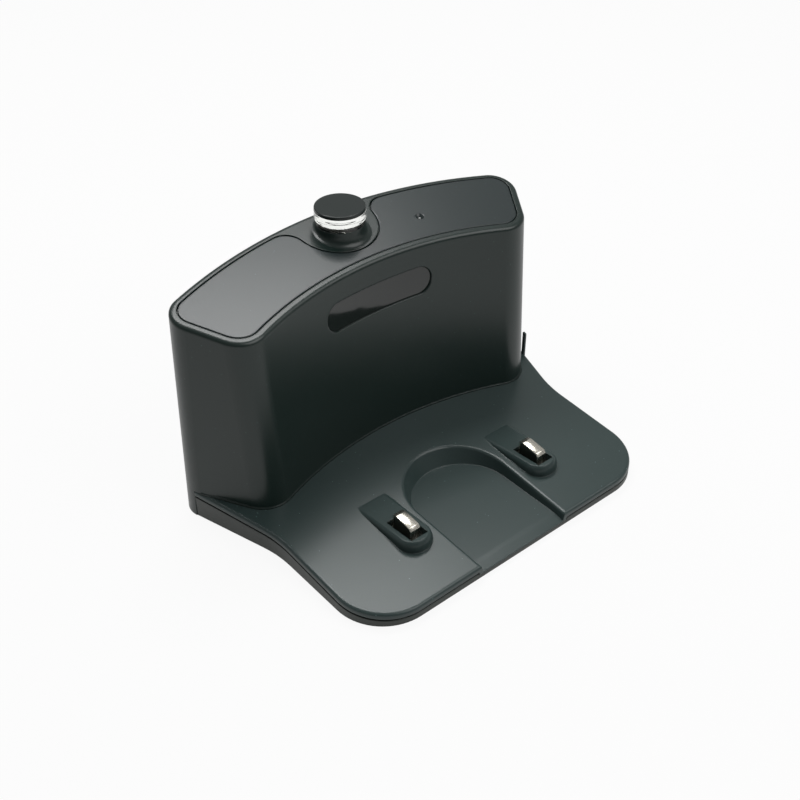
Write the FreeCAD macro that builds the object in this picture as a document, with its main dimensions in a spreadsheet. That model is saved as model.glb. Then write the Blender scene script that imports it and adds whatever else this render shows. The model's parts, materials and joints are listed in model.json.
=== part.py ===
import FreeCAD, Part
import math
import os

# Robot vacuum charging dock, in millimetres: +X right seen from the front, front towards -Y, +Z up.
# The origin lies on the floor, in the middle of the dock's footprint.

os.makedirs("parts", exist_ok=True)
doc = FreeCAD.newDocument("charging_dock")

# Driving dimensions: alias, value, meaning
DIMENSIONS = [
    ("front_reach", 78.2, "deck front edge to origin"),
    ("deck_half_width", 92.0, "half width of the front deck"),
    ("deck_corner", 27.0, "plan radius of the front deck corners"),
    ("bend_y", -5.0, "where the deck sides turn outwards"),
    ("bend_radius", 64.0, "plan radius of that turn"),
    ("splay_angle", 16.5, "angle of the rear deck sides to the long axis"),
    ("step_y", 44.0, "where the deck ends under the tower"),
    ("deck_front_height", 7.6, "top of the deck at its front edge"),
    ("deck_slope", 4.1, "slope of the deck in degrees"),
    ("deck_thickness", 3.0, "thickness of the deck plate"),
    ("deck_edge_radius", 1.6, "rounding of the deck's upper edge"),
    ("seam", 1.0, "open height of the seam under the deck edge"),
    ("seam_depth", 1.6, "depth of that seam"),
    ("foot_proud", 0.6, "how far the rubber feet stand below the tray"),
    ("tray_floor", 2.0, "thickness of the tray floor"),
    ("tray_wall", 3.2, "thickness of the tray side walls"),
    ("wall", 2.6, "wall thickness of the tower"),
    ("fit_gap", 0.3, "clearance between pieces that fit together"),
    ("bore_gap", 0.1, "clearance round rods, collars and screw shanks"),
    ("joint_gap", 0.05, "clearance of pieces that are glued or clipped in"),
    ("front_wall_radius", 204.0, "radius of the hollow front wall"),
    ("front_wall_low", 24.0, "front wall at the floor, on the middle line"),
    ("front_wall_high", 32.4, "front wall at the rim, on the middle line"),
    ("rear_wall_radius", 268.0, "radius of the rear wall"),
    ("rear_wall_low", 78.2, "rear wall at the floor, on the middle line"),
    ("rear_wall_high", 75.6, "rear wall at the rim, on the middle line"),
    ("end_low", 82.4, "end wall at the floor, where the reference line crosses it"),
    ("end_high", 79.4, "end wall at the rim, where the reference line crosses it"),
    ("end_line_y", 4.0, "reference line for the end walls"),
    ("end_angle", 32.0, "angle of the end walls to the long axis"),
    ("front_corner", 15.0, "plan radius of the tower's front corners"),
    ("rear_corner", 12.4, "plan radius of the tower's rear corners"),
    ("rim_height", 110.8, "top of the tower over the front wall"),
    ("top_slope", 12.9, "slope of the tower top in degrees"),
    ("rim_radius", 2.2, "rounding of the tower rim"),
    ("foot_round", 0.9, "height of the hollow rounding where the tower meets the deck"),
    ("panel_inset", 4.2, "rim to top panel"),
    ("panel_gap", 0.5, "width of the groove between rim and top panel"),
    ("saddle_gap", 0.5, "width of the groove between panel and beacon saddle"),
    ("panel_thickness", 1.5, "thickness of the top panel"),
    ("saddle_radius", 22.4, "radius of the panel's cut-out round the beacon"),
    ("saddle_corner", 9.6, "radius of the panel corners beside the beacon"),
    ("saddle_shift", 5.4, "saddle's centre behind the beacon axis"),
    ("beacon_y", 59.4, "beacon axis"),
    ("beacon_rise", 19.1, "top of the beacon cap over the rim height"),
    ("beacon_radius", 12.8, "radius of the beacon lens"),
    ("cap_thickness", 1.7, "thickness of the beacon cap"),
    ("lens_height", 7.2, "height of the beacon lens"),
    ("lens_wall", 2.2, "wall thickness of the beacon lens"),
    ("lens_step", 0.7, "set-back of the lens's lower tier"),
    ("lens_tier", 2.6, "height of the lens's lower tier"),
    ("cone_lift", 1.5, "tip of the reflector cone over the lens's lower edge"),
    ("cone_tip", 1.2, "radius of that tip"),
    ("cone_rim", 0.9, "height of the reflector's rim"),
    ("neck_inset", 0.6, "beacon lens to the neck under it"),
    ("flare_radius", 15.3, "foot of the beacon mound"),
    ("flare_shift", 1.2, "foot of the mound in front of the beacon axis"),
    ("mound_root", 0.1, "depth of the mound's foot under the top surface"),
    ("seat_width", 2.2, "width of the ledge inside the beacon lens"),
    ("lamp_x", 41.0, "status lamp across"),
    ("lamp_y", 47.6, "status lamp along"),
    ("lamp_radius", 1.0, "radius of the status lamp's light pipe"),
    ("lamp_dish", 1.2, "depth and run of the dish round the status lamp"),
    ("pipe_length", 7.5, "length of the light pipe"),
    ("pipe_collar", 1.2, "height and overhang of the light pipe's collar"),
    ("pipe_drop", 1.3, "light pipe's head under the top surface"),
    ("window_half_length", 32.6, "half length of the infrared window"),
    ("window_height", 15.2, "height of the infrared window"),
    ("window_drop", 20.0, "rim height to the middle of the infrared window"),
    ("window_recess", 1.0, "window face behind the wall"),
    ("window_thickness", 1.6, "thickness of the window"),
    ("window_round", 0.5, "rounding of the edge round the window"),
    ("bay_half_width", 27.0, "half width of the caster bay floor"),
    ("bay_rear", -9.0, "rear end of the bay floor"),
    ("bay_floor", 4.2, "height of the bay floor"),
    ("bay_side_run", 1.7, "outward run of the bay's side walls"),
    ("bay_rear_run", 5.2, "rearward run of the bay's rear wall"),
    ("bay_rise", 8.3, "height over which those runs are measured"),
    ("bay_ramp", 6.4, "length of the falling front lip of the bay"),
    ("bay_ramp_drop", 0.8, "fall of that lip"),
    ("bay_ramp_round", 24.0, "rounding where the bay floor turns into the lip"),
    ("bay_wall", 2.0, "thickness of the bay's walls"),
    ("bay_floor_thickness", 1.4, "thickness of the bay floor"),
    ("contact_x", 42.0, "charging contact across"),
    ("contact_front", -47.2, "front face of the contact strip"),
    ("contact_rear", -33.4, "rear face of the contact strip"),
    ("contact_width", 6.0, "width of the contact strip"),
    ("contact_top", 20.0, "top of the contact strip at rest"),
    ("strip", 0.8, "thickness of the contact strip"),
    ("strip_ramp", 3.0, "length of the strip's rear ramp"),
    ("strip_ramp_drop", 0.7, "fall of that ramp"),
    ("strip_fall", 1.2, "fall of the strip's top towards the front"),
    ("strip_lean", 0.5, "lean of the strip's rear leg"),
    ("strip_nose", 1.3, "bevel at the strip's front"),
    ("boss_rear", -13.0, "rear crease of the contact boss"),
    ("boss_front", -53.8, "front end of the contact boss"),
    ("boss_half_width", 8.7, "half width of the contact boss at its foot"),
    ("boss_front_top", 15.6, "top of the boss at its front end"),
    ("boss_corner", 8.0, "plan radius of the boss's front corners"),
    ("boss_root", 1.0, "depth of the boss's foot under the deck surface"),
    ("boss_spread", 0.3, "spread of the boss's foot"),
    ("boss_round", 1.2, "run of the rounded upper edge of the boss"),
    ("slot_half_width", 5.0, "half width of the contact slot"),
    ("slot_front", -50.2, "front end of the contact slot"),
    ("slot_rear", -31.8, "rear end of the contact slot"),
    ("well_half_width", 6.0, "half width of the well under the boss"),
    ("well_front", -51.6, "front end of the well"),
    ("well_rear", -30.6, "rear end of the well"),
    ("well_top", 11.2, "ceiling of the well"),
    ("flange_thickness", 1.6, "thickness of the slider flange"),
    ("flange_gap", 0.2, "slider flange under the ceiling of the well, at rest"),
    ("core_inset", 0.2, "slider core inside the strip's edges"),
    ("spring_radius", 2.7, "mean radius of the contact spring"),
    ("spring_wire", 0.7, "wire of the contact spring"),
    ("spring_turns", 3.0, "turns of the contact spring"),
    ("pin_gap", 0.55, "clearance between a spring and the pin inside it"),
    ("pin_height", 1.8, "height of the spring pins over the tray floor"),
    ("tab_y", 24.9, "upright tab at the deck's right edge, along"),
    ("tab_length", 2.4, "length of the tab"),
    ("tab_thickness", 1.1, "thickness of the tab"),
    ("tab_height", 13.8, "height of the tab over the deck"),
    ("tab_root", 2.4, "depth of the tab's root under the deck surface"),
    ("screw_head_radius", 2.75, "radius of the screw heads"),
    ("screw_head_height", 1.9, "height of the screw heads"),
    ("screw_radius", 1.45, "radius of the screw shanks"),
    ("screw_length", 5.0, "length of the deck screw shanks"),
    ("tower_screw_length", 11.0, "length of the tower screw shanks"),
    ("post_radius", 4.2, "radius of the screw posts"),
    ("post_top", 5.2, "top of the tray's screw posts"),
    ("deck_post_front_x", 75.0, "front deck screws across"),
    ("deck_post_front_y", -25.0, "front deck screws along"),
    ("deck_post_rear_x", 62.0, "rear deck screws across"),
    ("deck_post_rear_y", 32.0, "rear deck screws along"),
    ("tower_post_outer_x", 80.0, "outer tower screws across"),
    ("tower_post_outer_y", 54.0, "outer tower screws along"),
    ("tower_post_inner_x", 35.0, "inner tower screws across"),
    ("tower_post_inner_y", 66.0, "inner tower screws along"),
    ("foot_front_x", 72.0, "front feet across"),
    ("foot_front_y", -50.0, "front feet along"),
    ("foot_rear_x", 58.0, "rear feet across"),
    ("foot_rear_y", 55.0, "rear feet along"),
    ("foot_radius", 6.5, "radius of the rubber feet"),
    ("foot_seat", 0.9, "depth of the foot recesses"),
    ("inlet_z", 22.0, "axis of the power inlet"),
    ("inlet_radius", 4.9, "radius of the inlet's collar"),
    ("inlet_bore", 2.9, "radius of the inlet's bore"),
    ("inlet_pin", 1.05, "radius of the inlet's pin"),
    ("inlet_depth", 9.5, "depth of the inlet's bore"),
    ("inlet_recess", 0.8, "inlet face inside the rear wall's face"),
    ("inlet_back", 4.0, "solid length behind the inlet's bore"),
    ("inlet_block", 11.0, "side of the inlet's square block"),
    ("board", 1.6, "thickness of the circuit boards"),
    ("emitter_radius", 2.5, "radius of the infrared emitters"),
    ("emitter_length", 4.2, "straight length of the window's emitters"),
    ("board_post_x", 38.5, "window board's stand-offs across"),
    ("board_post_radius", 3.2, "radius of those stand-offs"),
    ("board_margin", 5.0, "window board beyond its stand-offs"),
    ("board_height", 30.0, "height of the window board"),
    ("board_setback", 9.0, "window board behind the rim of the front wall"),
    ("board_head", 1.4, "height of the board screws' heads"),
    ("beacon_board_drop", 12.6, "beacon board under the tower top at the beacon axis"),
    ("beacon_board_left", 16.0, "beacon board's left end from the beacon axis"),
    ("beacon_board_right", 10.0, "beacon board beyond the status lamp"),
    ("beacon_board_front", 15.0, "beacon board's front edge from the beacon axis"),
    ("beacon_board_width", 17.0, "width of the beacon board"),
    ("emitter_drop", 0.6, "beacon emitter's top under the lens"),
    ("lamp_length", 3.2, "length of the status lamp chip"),
    ("lamp_width", 2.8, "width of the status lamp chip"),
    ("ballast_half_length", 65.0, "half length of the ballast plate"),
    ("ballast_width", 14.0, "width of the ballast plate"),
    ("ballast_setback", 2.0, "ballast plate behind the end of the deck"),
    ("ballast_height", 6.0, "thickness of the ballast plate"),
    ("margin", 30.0, "reach of the cutting shapes beyond the part"),
]

sheet = doc.addObject("Spreadsheet::Sheet", "Sheet")
for row, (alias, number, meaning) in enumerate(DIMENSIONS, start=1):
    sheet.set("A%d" % row, meaning)
    sheet.set("B%d" % row, str(number))
    sheet.setAlias("B%d" % row, alias)
doc.recompute()


def val(alias):
    return float(sheet.get(alias))


def bind(thing, **expressions):
    for name, expression in expressions.items():
        thing.setExpression(name, expression)


def deck_z(y):
    """Height of the deck's top surface."""
    rise = math.tan(math.radians(val("deck_slope")))
    return val("deck_front_height") + rise * (y + val("front_reach"))


def top_z(y):
    """Height of the tower's top surface."""
    rise = math.tan(math.radians(val("top_slope")))
    return val("rim_height") + rise * (y - val("front_wall_high"))


def beacon_top():
    return val("rim_height") + val("beacon_rise")


def window_z():
    return val("rim_height") - val("window_drop")


# Plan outlines: lists of segments, two points for a line and three for an arc

def unit(x, y):
    length = math.hypot(x, y)
    return x / length, y / length


def rounded(corners, radii):
    """Closed outline through the corners, each rounded by its radius (0 keeps it sharp)."""
    starts = []
    ends = []
    arcs = []
    count = len(corners)
    for i in range(count):
        px, py = corners[i]
        ux, uy = unit(corners[i - 1][0] - px, corners[i - 1][1] - py)
        vx, vy = unit(corners[(i + 1) % count][0] - px, corners[(i + 1) % count][1] - py)
        radius = radii[i]
        half = math.acos(max(-1.0, min(1.0, ux * vx + uy * vy))) / 2
        if radius == 0:
            starts.append((px, py))
            ends.append((px, py))
            arcs.append(None)
            continue
        reach = radius / math.tan(half)
        starts.append((px + ux * reach, py + uy * reach))
        ends.append((px + vx * reach, py + vy * reach))
        bx, by = unit(ux + vx, uy + vy)
        middle = radius / math.sin(half) - radius
        arcs.append((px + bx * middle, py + by * middle))
    segments = []
    for i in range(count):
        if arcs[i] is not None:
            segments.append([starts[i], arcs[i], ends[i]])
        segments.append([ends[i], starts[(i + 1) % count]])
    return segments


def deck_outline(inset):
    """Deck plan: parallel front sides that splay out behind the bend, cut straight at the step."""
    splay = math.radians(val("splay_angle"))
    side = val("deck_half_width") - inset
    front = -val("front_reach") + inset
    shift = inset * (1 / math.cos(splay) - 1)
    rear_side = side - shift + (val("step_y") - val("bend_y")) * math.tan(splay)
    bend = val("bend_y")
    step = val("step_y")
    corner = val("deck_corner") - inset
    bend_radius = val("bend_radius") + inset
    right = [(side, front), (side, bend), (rear_side, step)]
    left = [(-x, y) for x, y in reversed(right)]
    return rounded(right + left, [corner, bend_radius, 0, 0, bend_radius, corner])


def between(name, share):
    """Value that changes from the floor (share 0) to the rim (share 1)."""
    low = val(name + "_low")
    return low + share * (val(name + "_high") - low)


def tower_points(share, inset):
    """Right-hand key points of the tower outline between floor and rim, moved inwards by the inset."""
    front = between("front_wall", share)
    rear = between("rear_wall", share)
    end = between("end", share)
    front_radius = val("front_wall_radius") + inset
    rear_radius = val("rear_wall_radius") - inset
    front_centre = front - val("front_wall_radius")
    rear_centre = rear - val("rear_wall_radius")
    lean = math.radians(val("end_angle"))
    along = (math.sin(lean), math.cos(lean))
    outward = (math.cos(lean), -math.sin(lean))
    small = val("front_corner") - inset
    large = val("rear_corner") - inset

    def on_circle(offset, centre_y, radius):
        """Point of the end line moved in by the offset that lies on a circle round (0, centre_y)."""
        px = end - outward[0] * offset
        py = val("end_line_y") - outward[1] * offset - centre_y
        half_b = px * along[0] + py * along[1]
        rest = px * px + py * py - radius * radius
        step = -half_b + math.sqrt(half_b * half_b - rest)
        return px + along[0] * step, py + along[1] * step + centre_y

    near = on_circle(inset + small, front_centre, front_radius + small)
    far = on_circle(inset + large, rear_centre, rear_radius - large)
    to_front = unit(-near[0], front_centre - near[1])
    to_rear = unit(far[0], far[1] - rear_centre)
    mid_near = unit(to_front[0] + outward[0], to_front[1] + outward[1])
    mid_far = unit(to_rear[0] + outward[0], to_rear[1] + outward[1])

    def from_centre(centre, direction, radius):
        return centre[0] + direction[0] * radius, centre[1] + direction[1] * radius

    return {
        "front": (0.0, front + inset),
        "rear": (0.0, rear - inset),
        "front_tangent": from_centre(near, to_front, small),
        "front_mid": from_centre(near, mid_near, small),
        "end_front": from_centre(near, outward, small),
        "end_rear": from_centre(far, outward, large),
        "rear_mid": from_centre(far, mid_far, large),
        "rear_tangent": from_centre(far, to_rear, large),
        "rear_corner_centre": far,
        "rear_corner_radius": large,
        "rear_radius": rear_radius,
        "rear_centre": rear_centre,
    }


def mirrored(point):
    return -point[0], point[1]


def tower_outline(share, inset):
    """Closed tower outline: hollow front wall, end walls, bulging rear wall."""
    p = tower_points(share, inset)
    right = [
        [p["front_tangent"], p["front_mid"], p["end_front"]],
        [p["end_front"], p["end_rear"]],
        [p["end_rear"], p["rear_mid"], p["rear_tangent"]],
    ]
    left = [[mirrored(q) for q in reversed(segment)] for segment in reversed(right)]
    front = [[mirrored(p["front_tangent"]), p["front"], p["front_tangent"]]]
    rear = [[p["rear_tangent"], p["rear"], mirrored(p["rear_tangent"])]]
    return front + right + rear + left


def foot_outline(share, grow):
    """Tower outline in front of the rear corners, moved outwards by the growth."""
    p = tower_points(share, -grow)
    right = [
        [p["front_tangent"], p["front_mid"], p["end_front"]],
        [p["end_front"], p["end_rear"]],
    ]
    left = [[mirrored(q) for q in reversed(segment)] for segment in reversed(right)]
    front = [[mirrored(p["front_tangent"]), p["front"], p["front_tangent"]]]
    rear = [[p["end_rear"], mirrored(p["end_rear"])]]
    return front + right + rear + left


def panel_outline(inset, saddle_grow):
    """Top panel outline: the tower outline with a round saddle cut in behind for the beacon."""
    p = tower_points(1.0, inset)
    corner = val("saddle_corner")
    saddle = val("saddle_radius") + saddle_grow
    centre_y = val("beacon_y") + val("saddle_shift")
    # the corner circle touches the saddle's outside and the rear arc's inside
    reach = p["rear_radius"] - corner
    join = saddle + corner
    dy = centre_y - p["rear_centre"]
    cy = (reach * reach - join * join - dy * dy) / (2 * dy) + centre_y
    cx = math.sqrt(join * join - (cy - centre_y) ** 2)
    low = unit(-cx, centre_y - cy)
    high = unit(cx, cy - p["rear_centre"])
    mid = unit(low[0] + high[0], low[1] + high[1])
    touch_low = (cx + low[0] * corner, cy + low[1] * corner)
    touch_mid = (cx + mid[0] * corner, cy + mid[1] * corner)
    touch_high = (cx + high[0] * corner, cy + high[1] * corner)
    angle = (math.atan2(touch_high[0], touch_high[1] - p["rear_centre"])
             + math.atan2(p["rear_tangent"][0], p["rear_tangent"][1] - p["rear_centre"])) / 2
    rear_mid = (p["rear_radius"] * math.sin(angle), p["rear_centre"] + p["rear_radius"] * math.cos(angle))
    right = [
        [p["front_tangent"], p["front_mid"], p["end_front"]],
        [p["end_front"], p["end_rear"]],
        [p["end_rear"], p["rear_mid"], p["rear_tangent"]],
        [p["rear_tangent"], rear_mid, touch_high],
        [touch_high, touch_mid, touch_low],
    ]
    left = [[mirrored(q) for q in reversed(segment)] for segment in reversed(right)]
    front = [[mirrored(p["front_tangent"]), p["front"], p["front_tangent"]]]
    bottom = [[touch_low, (0.0, centre_y - saddle), mirrored(touch_low)]]
    return front + right + bottom + left


def bay_outline(grow, level):
    """Caster bay plan, open at the front; level 0 is the floor, 1 is one rise higher."""
    half = val("bay_half_width") + grow + level * val("bay_side_run")
    rear = val("bay_rear") + grow + level * val("bay_rear_run")
    front = -val("front_reach") - val("margin")
    return [
        [(-half, front), (half, front)],
        [(half, front), (half, rear - half)],
        [(half, rear - half), (0.0, rear), (-half, rear - half)],
        [(-half, rear - half), (-half, front)],
    ]


def stadium(half_length, height, middle):
    """Slot with round ends, in the front view."""
    radius = height / 2
    inner = half_length - radius
    low = middle - radius
    high = middle + radius
    return [
        [(-inner, low), (inner, low)],
        [(inner, low), (half_length, middle), (inner, high)],
        [(inner, high), (-inner, high)],
        [(-inner, high), (-half_length, middle), (-inner, low)],
    ]


def rectangle(x0, y0, x1, y1):
    corners = [(x0, y0), (x1, y0), (x1, y1), (x0, y1)]
    return [[corners[i], corners[(i + 1) % 4]] for i in range(4)]


def polygon(points):
    count = len(points)
    return [[points[i], points[(i + 1) % count]] for i in range(count)]


# Bodies, sketches and features

def make_body(label):
    body = doc.addObject("PartDesign::Body", label)
    body.Label = label
    return body


def origin_plane(body, role):
    for feature in body.Origin.OriginFeatures:
        if feature.Role == role:
            return feature
    raise ValueError(role)


def make_sketch(body, name, role, segments, offset=None):
    sketch = body.newObject("Sketcher::SketchObject", name)
    sketch.AttachmentSupport = [(origin_plane(body, role), "")]
    sketch.MapMode = "FlatFace"
    if offset is not None:
        sketch.AttachmentOffset = offset
    add_segments(sketch, segments)
    return sketch


def add_segments(sketch, segments):
    for segment in segments:
        points = [FreeCAD.Vector(x, y, 0) for x, y in segment]
        if len(points) == 2:
            sketch.addGeometry(Part.LineSegment(points[0], points[1]), False)
        else:
            sketch.addGeometry(Part.Arc(points[0], points[1], points[2]), False)


def add_circle(sketch, x, y, radius):
    centre = FreeCAD.Vector(x, y, 0)
    sketch.addGeometry(Part.Circle(centre, FreeCAD.Vector(0, 0, 1), radius), False)


def circle_sketch(body, name, role, centres, radius, offset=None):
    sketch = make_sketch(body, name, role, [], offset)
    for x, y in centres:
        add_circle(sketch, x, y, radius)
    return sketch


def at_height(z):
    return FreeCAD.Placement(FreeCAD.Vector(0, 0, z), FreeCAD.Rotation())


def tilted(y, z, angle):
    """Offset of a sketch plane through (y, z) that rises to the rear by the angle."""
    return FreeCAD.Placement(FreeCAD.Vector(0, y, z), FreeCAD.Rotation(FreeCAD.Vector(1, 0, 0), angle))


def onto_tilt(segments, middle, angle):
    """Plan segments as drawn in a tilted plane whose sketch origin lies at y = middle."""
    stretch = math.cos(math.radians(angle))
    return [[(x, (y - middle) / stretch) for x, y in segment] for segment in segments]


def on_slope(drop):
    """Offset of a sketch that lies in the tower's top surface, lowered square to it by the drop."""
    place = tilted(val("front_wall_high"), val("rim_height"), val("top_slope"))
    place.Base += place.Rotation.multVec(FreeCAD.Vector(0, 0, -drop))
    return place


def onto_slope(segments):
    """Plan segments as drawn in the sloping top surface."""
    return onto_tilt(segments, val("front_wall_high"), val("top_slope"))


def pad(body, name, sketch, length, both_sides=False):
    feature = body.newObject("PartDesign::Pad", name)
    feature.Profile = sketch
    feature.setExpression("Length", length)
    feature.Midplane = both_sides
    settle(body, name, 1)
    return feature


def pocket(body, name, sketch, length=None, reverse=False, both_sides=False):
    feature = body.newObject("PartDesign::Pocket", name)
    feature.Profile = sketch
    feature.Reversed = reverse
    feature.Midplane = both_sides
    if length is None:
        feature.Type = "ThroughAll"
    else:
        feature.setExpression("Length", length)
    settle(body, name, -1)
    return feature


def loft(body, kind, name, low, *higher):
    feature = body.newObject("PartDesign::" + kind, name)
    feature.Profile = low
    feature.Sections = list(higher)
    settle(body, name, 1 if kind == "AdditiveLoft" else -1)
    return feature


def revolve(body, name, sketch):
    feature = body.newObject("PartDesign::Revolution", name)
    feature.Profile = sketch
    feature.ReferenceAxis = (sketch, ["V_Axis"])
    feature.Angle = 360
    settle(body, name, 1)
    return feature


def fillet(body, name, edges, radius):
    feature = body.newObject("PartDesign::Fillet", name)
    feature.Base = (body.Tip if body.Tip is not feature else feature.BaseFeature, edges)
    feature.setExpression("Radius", radius)
    settle(body, name, 0)
    return feature


volumes = {}


def settle(body, name, direction):
    """Recompute, and make sure that the feature added or removed material as meant."""
    before = volumes.get(body.Name, 0.0)
    doc.recompute()
    after = body.Shape.Volume
    unchanged = direction != 0 and abs(after - before) < 1e-3
    if after <= 0 or unchanged or direction * (after - before) < 0:
        raise RuntimeError("%s %s: %.2f to %.2f" % (body.Label, name, before, after))
    volumes[body.Name] = after


def edges_where(shape, test):
    return ["Edge%d" % (i + 1) for i, edge in enumerate(shape.Edges) if test(edge)]


SIDES = [("left", -1), ("right", 1)]


def both_sides_of(*names):
    """Mirrored places from pairs of sheet values."""
    places = [(val(name + "_x"), val(name + "_y")) for name in names]
    return [(side * x, y) for x, y in places for _, side in SIDES]


deck_posts = both_sides_of("deck_post_front", "deck_post_rear")
tower_posts = both_sides_of("tower_post_outer", "tower_post_inner")
foot_places = both_sides_of("foot_front", "foot_rear")
tray_bottom = val("foot_proud")
tray_top = tray_bottom + val("tray_floor")
beyond = beacon_top() + val("margin")


def slope_cut(body, name, lift, far_y):
    """Remove everything above a plane parallel to the deck."""
    near_y = -val("front_reach") - val("margin")
    shape = polygon([
        (near_y, deck_z(near_y) + lift),
        (far_y, deck_z(far_y) + lift),
        (far_y, beyond),
        (near_y, beyond),
    ])
    sketch = make_sketch(body, name + "_sketch", "YZ_Plane", shape)
    pocket(body, name, sketch, both_sides=True)


# Base tray: floor with a raised front surround, posts for the screws and spring pins

def spring_y():
    return (val("contact_front") + val("contact_rear")) / 2


def build_tray():
    body = make_body("base_tray")
    low = at_height(tray_bottom)
    far_y = val("step_y") + val("margin")
    outer = make_sketch(body, "tray_outer", "XY_Plane", deck_outline(0.0), low)
    pad(body, "tray_block", outer, "Sheet.deck_front_height + Sheet.margin")
    slope_cut(body, "tray_slope", -val("deck_thickness") - val("seam"), far_y)
    inner = make_sketch(body, "tray_step", "XY_Plane", deck_outline(val("seam_depth")), low)
    pad(body, "tray_ledge", inner, "Sheet.deck_front_height + Sheet.margin")
    slope_cut(body, "tray_ledge_slope", -val("deck_thickness"), far_y)
    inside = at_height(tray_top)
    hollow = make_sketch(body, "tray_hollow_sketch", "XY_Plane", deck_outline(val("tray_wall")), inside)
    pocket(body, "tray_hollow", hollow, reverse=True)
    build_rear_floor(body)
    relief_z = val("bay_floor") - val("bay_floor_thickness") - val("bore_gap")
    relief_plan = bay_outline(val("bay_wall") + 2 * val("fit_gap"), 0.0)
    relief = make_sketch(body, "bay_relief_sketch", "XY_Plane", relief_plan, at_height(relief_z))
    pocket(body, "bay_relief", relief, reverse=True)
    posts = deck_posts + tower_posts
    post = circle_sketch(body, "tray_posts_sketch", "XY_Plane", posts, val("post_radius"), low)
    pad(body, "tray_posts", post, "Sheet.post_top - Sheet.foot_proud")
    bore_radius = val("screw_radius") + val("bore_gap")
    bore = circle_sketch(body, "tray_bores_sketch", "XY_Plane", posts, bore_radius, low)
    pocket(body, "tray_bores", bore, reverse=True)
    sink_radius = val("screw_head_radius") + val("fit_gap")
    sink = circle_sketch(body, "tray_sinks_sketch", "XY_Plane", posts, sink_radius, low)
    pocket(body, "tray_sinks", sink, "Sheet.screw_head_height + Sheet.fit_gap", reverse=True)
    pins = [(side * val("contact_x"), spring_y()) for _, side in SIDES]
    pin_radius = val("spring_radius") - val("spring_wire") / 2 - val("pin_gap")
    pin = circle_sketch(body, "tray_pins_sketch", "XY_Plane", pins, pin_radius, low)
    pad(body, "tray_pins", pin, "Sheet.tray_floor + Sheet.pin_height")
    feet = circle_sketch(body, "tray_feet_sketch", "XY_Plane", foot_places, val("foot_radius"), low)
    pocket(body, "tray_feet", feet, "Sheet.foot_seat", reverse=True)
    return body


def build_rear_floor(body):
    """Floor behind the step, which fills the tower's foot up to a clearance."""
    p = tower_points(0.0, val("wall") + val("fit_gap"))
    seat_y = val("step_y") - val("fit_gap")
    corner_x, corner_y = p["rear_corner_centre"]
    corner = p["rear_corner_radius"]
    seat_x = corner_x + math.sqrt(corner ** 2 - (seat_y - corner_y) ** 2)
    from_seat = unit(seat_x - corner_x, seat_y - corner_y)
    from_tangent = unit(p["rear_tangent"][0] - corner_x, p["rear_tangent"][1] - corner_y)
    middle = unit(from_seat[0] + from_tangent[0], from_seat[1] + from_tangent[1])
    corner_mid = (corner_x + middle[0] * corner, corner_y + middle[1] * corner)
    plan = [
        [(-seat_x, seat_y), (seat_x, seat_y)],
        [(seat_x, seat_y), corner_mid, p["rear_tangent"]],
        [p["rear_tangent"], p["rear"], mirrored(p["rear_tangent"])],
        [mirrored(p["rear_tangent"]), mirrored(corner_mid), (-seat_x, seat_y)],
    ]
    sketch = make_sketch(body, "tray_rear_sketch", "XY_Plane", plan, at_height(tray_bottom))
    pad(body, "tray_rear", sketch, "Sheet.tray_floor")


# Deck plate: sloping plate with the caster bay, the two contact bosses and a tab at its right edge

BAY_LEVELS = 2.0


def build_deck():
    body = make_body("deck_plate")
    near_y = -val("front_reach") - val("margin")
    far_y = val("step_y") + val("margin")
    thick = val("deck_thickness")
    band = polygon([
        (near_y, deck_z(near_y) - thick),
        (far_y, deck_z(far_y) - thick),
        (far_y, deck_z(far_y)),
        (near_y, deck_z(near_y)),
    ])
    slab = make_sketch(body, "deck_band", "YZ_Plane", band)
    pad(body, "deck_slab", slab, "4 * Sheet.deck_half_width", both_sides=True)
    floor_low = val("bay_floor") - val("bay_floor_thickness")
    bay_loft(body, "AdditiveLoft", "bay_block", val("bay_wall"), floor_low)
    post_low = at_height(val("post_top"))
    posts = circle_sketch(body, "deck_posts_sketch", "XY_Plane", deck_posts, val("post_radius"), post_low)
    pad(body, "deck_posts", posts, "Sheet.deck_front_height + Sheet.margin")
    slope_cut(body, "deck_slope_cut", 0.0, far_y + val("margin"))
    limit = 3 * val("deck_half_width")
    frame = make_sketch(body, "deck_frame", "XY_Plane", rectangle(-limit, -limit, limit, limit))
    add_segments(frame, deck_outline(0.0))
    pocket(body, "deck_trim", frame, both_sides=True)
    bay_loft(body, "SubtractiveLoft", "bay", 0.0, val("bay_floor"))
    fillet(body, "deck_edge", edges_where(body.Shape, is_deck_rim), "Sheet.deck_edge_radius")
    ramp_y = -val("front_reach") + val("bay_ramp")
    ramp_end = ramp_y - 2 * val("bay_ramp")
    ramp = polygon([
        (ramp_y, val("bay_floor")),
        (ramp_end, val("bay_floor") - 2 * val("bay_ramp_drop")),
        (ramp_end, val("bay_floor") + val("bay_ramp_drop")),
    ])
    ramp_sketch = make_sketch(body, "bay_ramp_sketch", "YZ_Plane", ramp)
    pocket(body, "bay_ramp_cut", ramp_sketch, "2 * Sheet.bay_half_width", both_sides=True)
    fillet(body, "bay_ramp_turn", edges_where(body.Shape, is_ramp_edge), "Sheet.bay_ramp_round")
    build_bosses(body)
    build_tab(body)
    bore_radius = val("screw_radius") + val("bore_gap")
    bores = circle_sketch(body, "deck_bores_sketch", "XY_Plane", deck_posts, bore_radius, post_low)
    pocket(body, "deck_bores", bores, "%.3f" % bore_depth("screw_length"), reverse=True)
    return body


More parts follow.
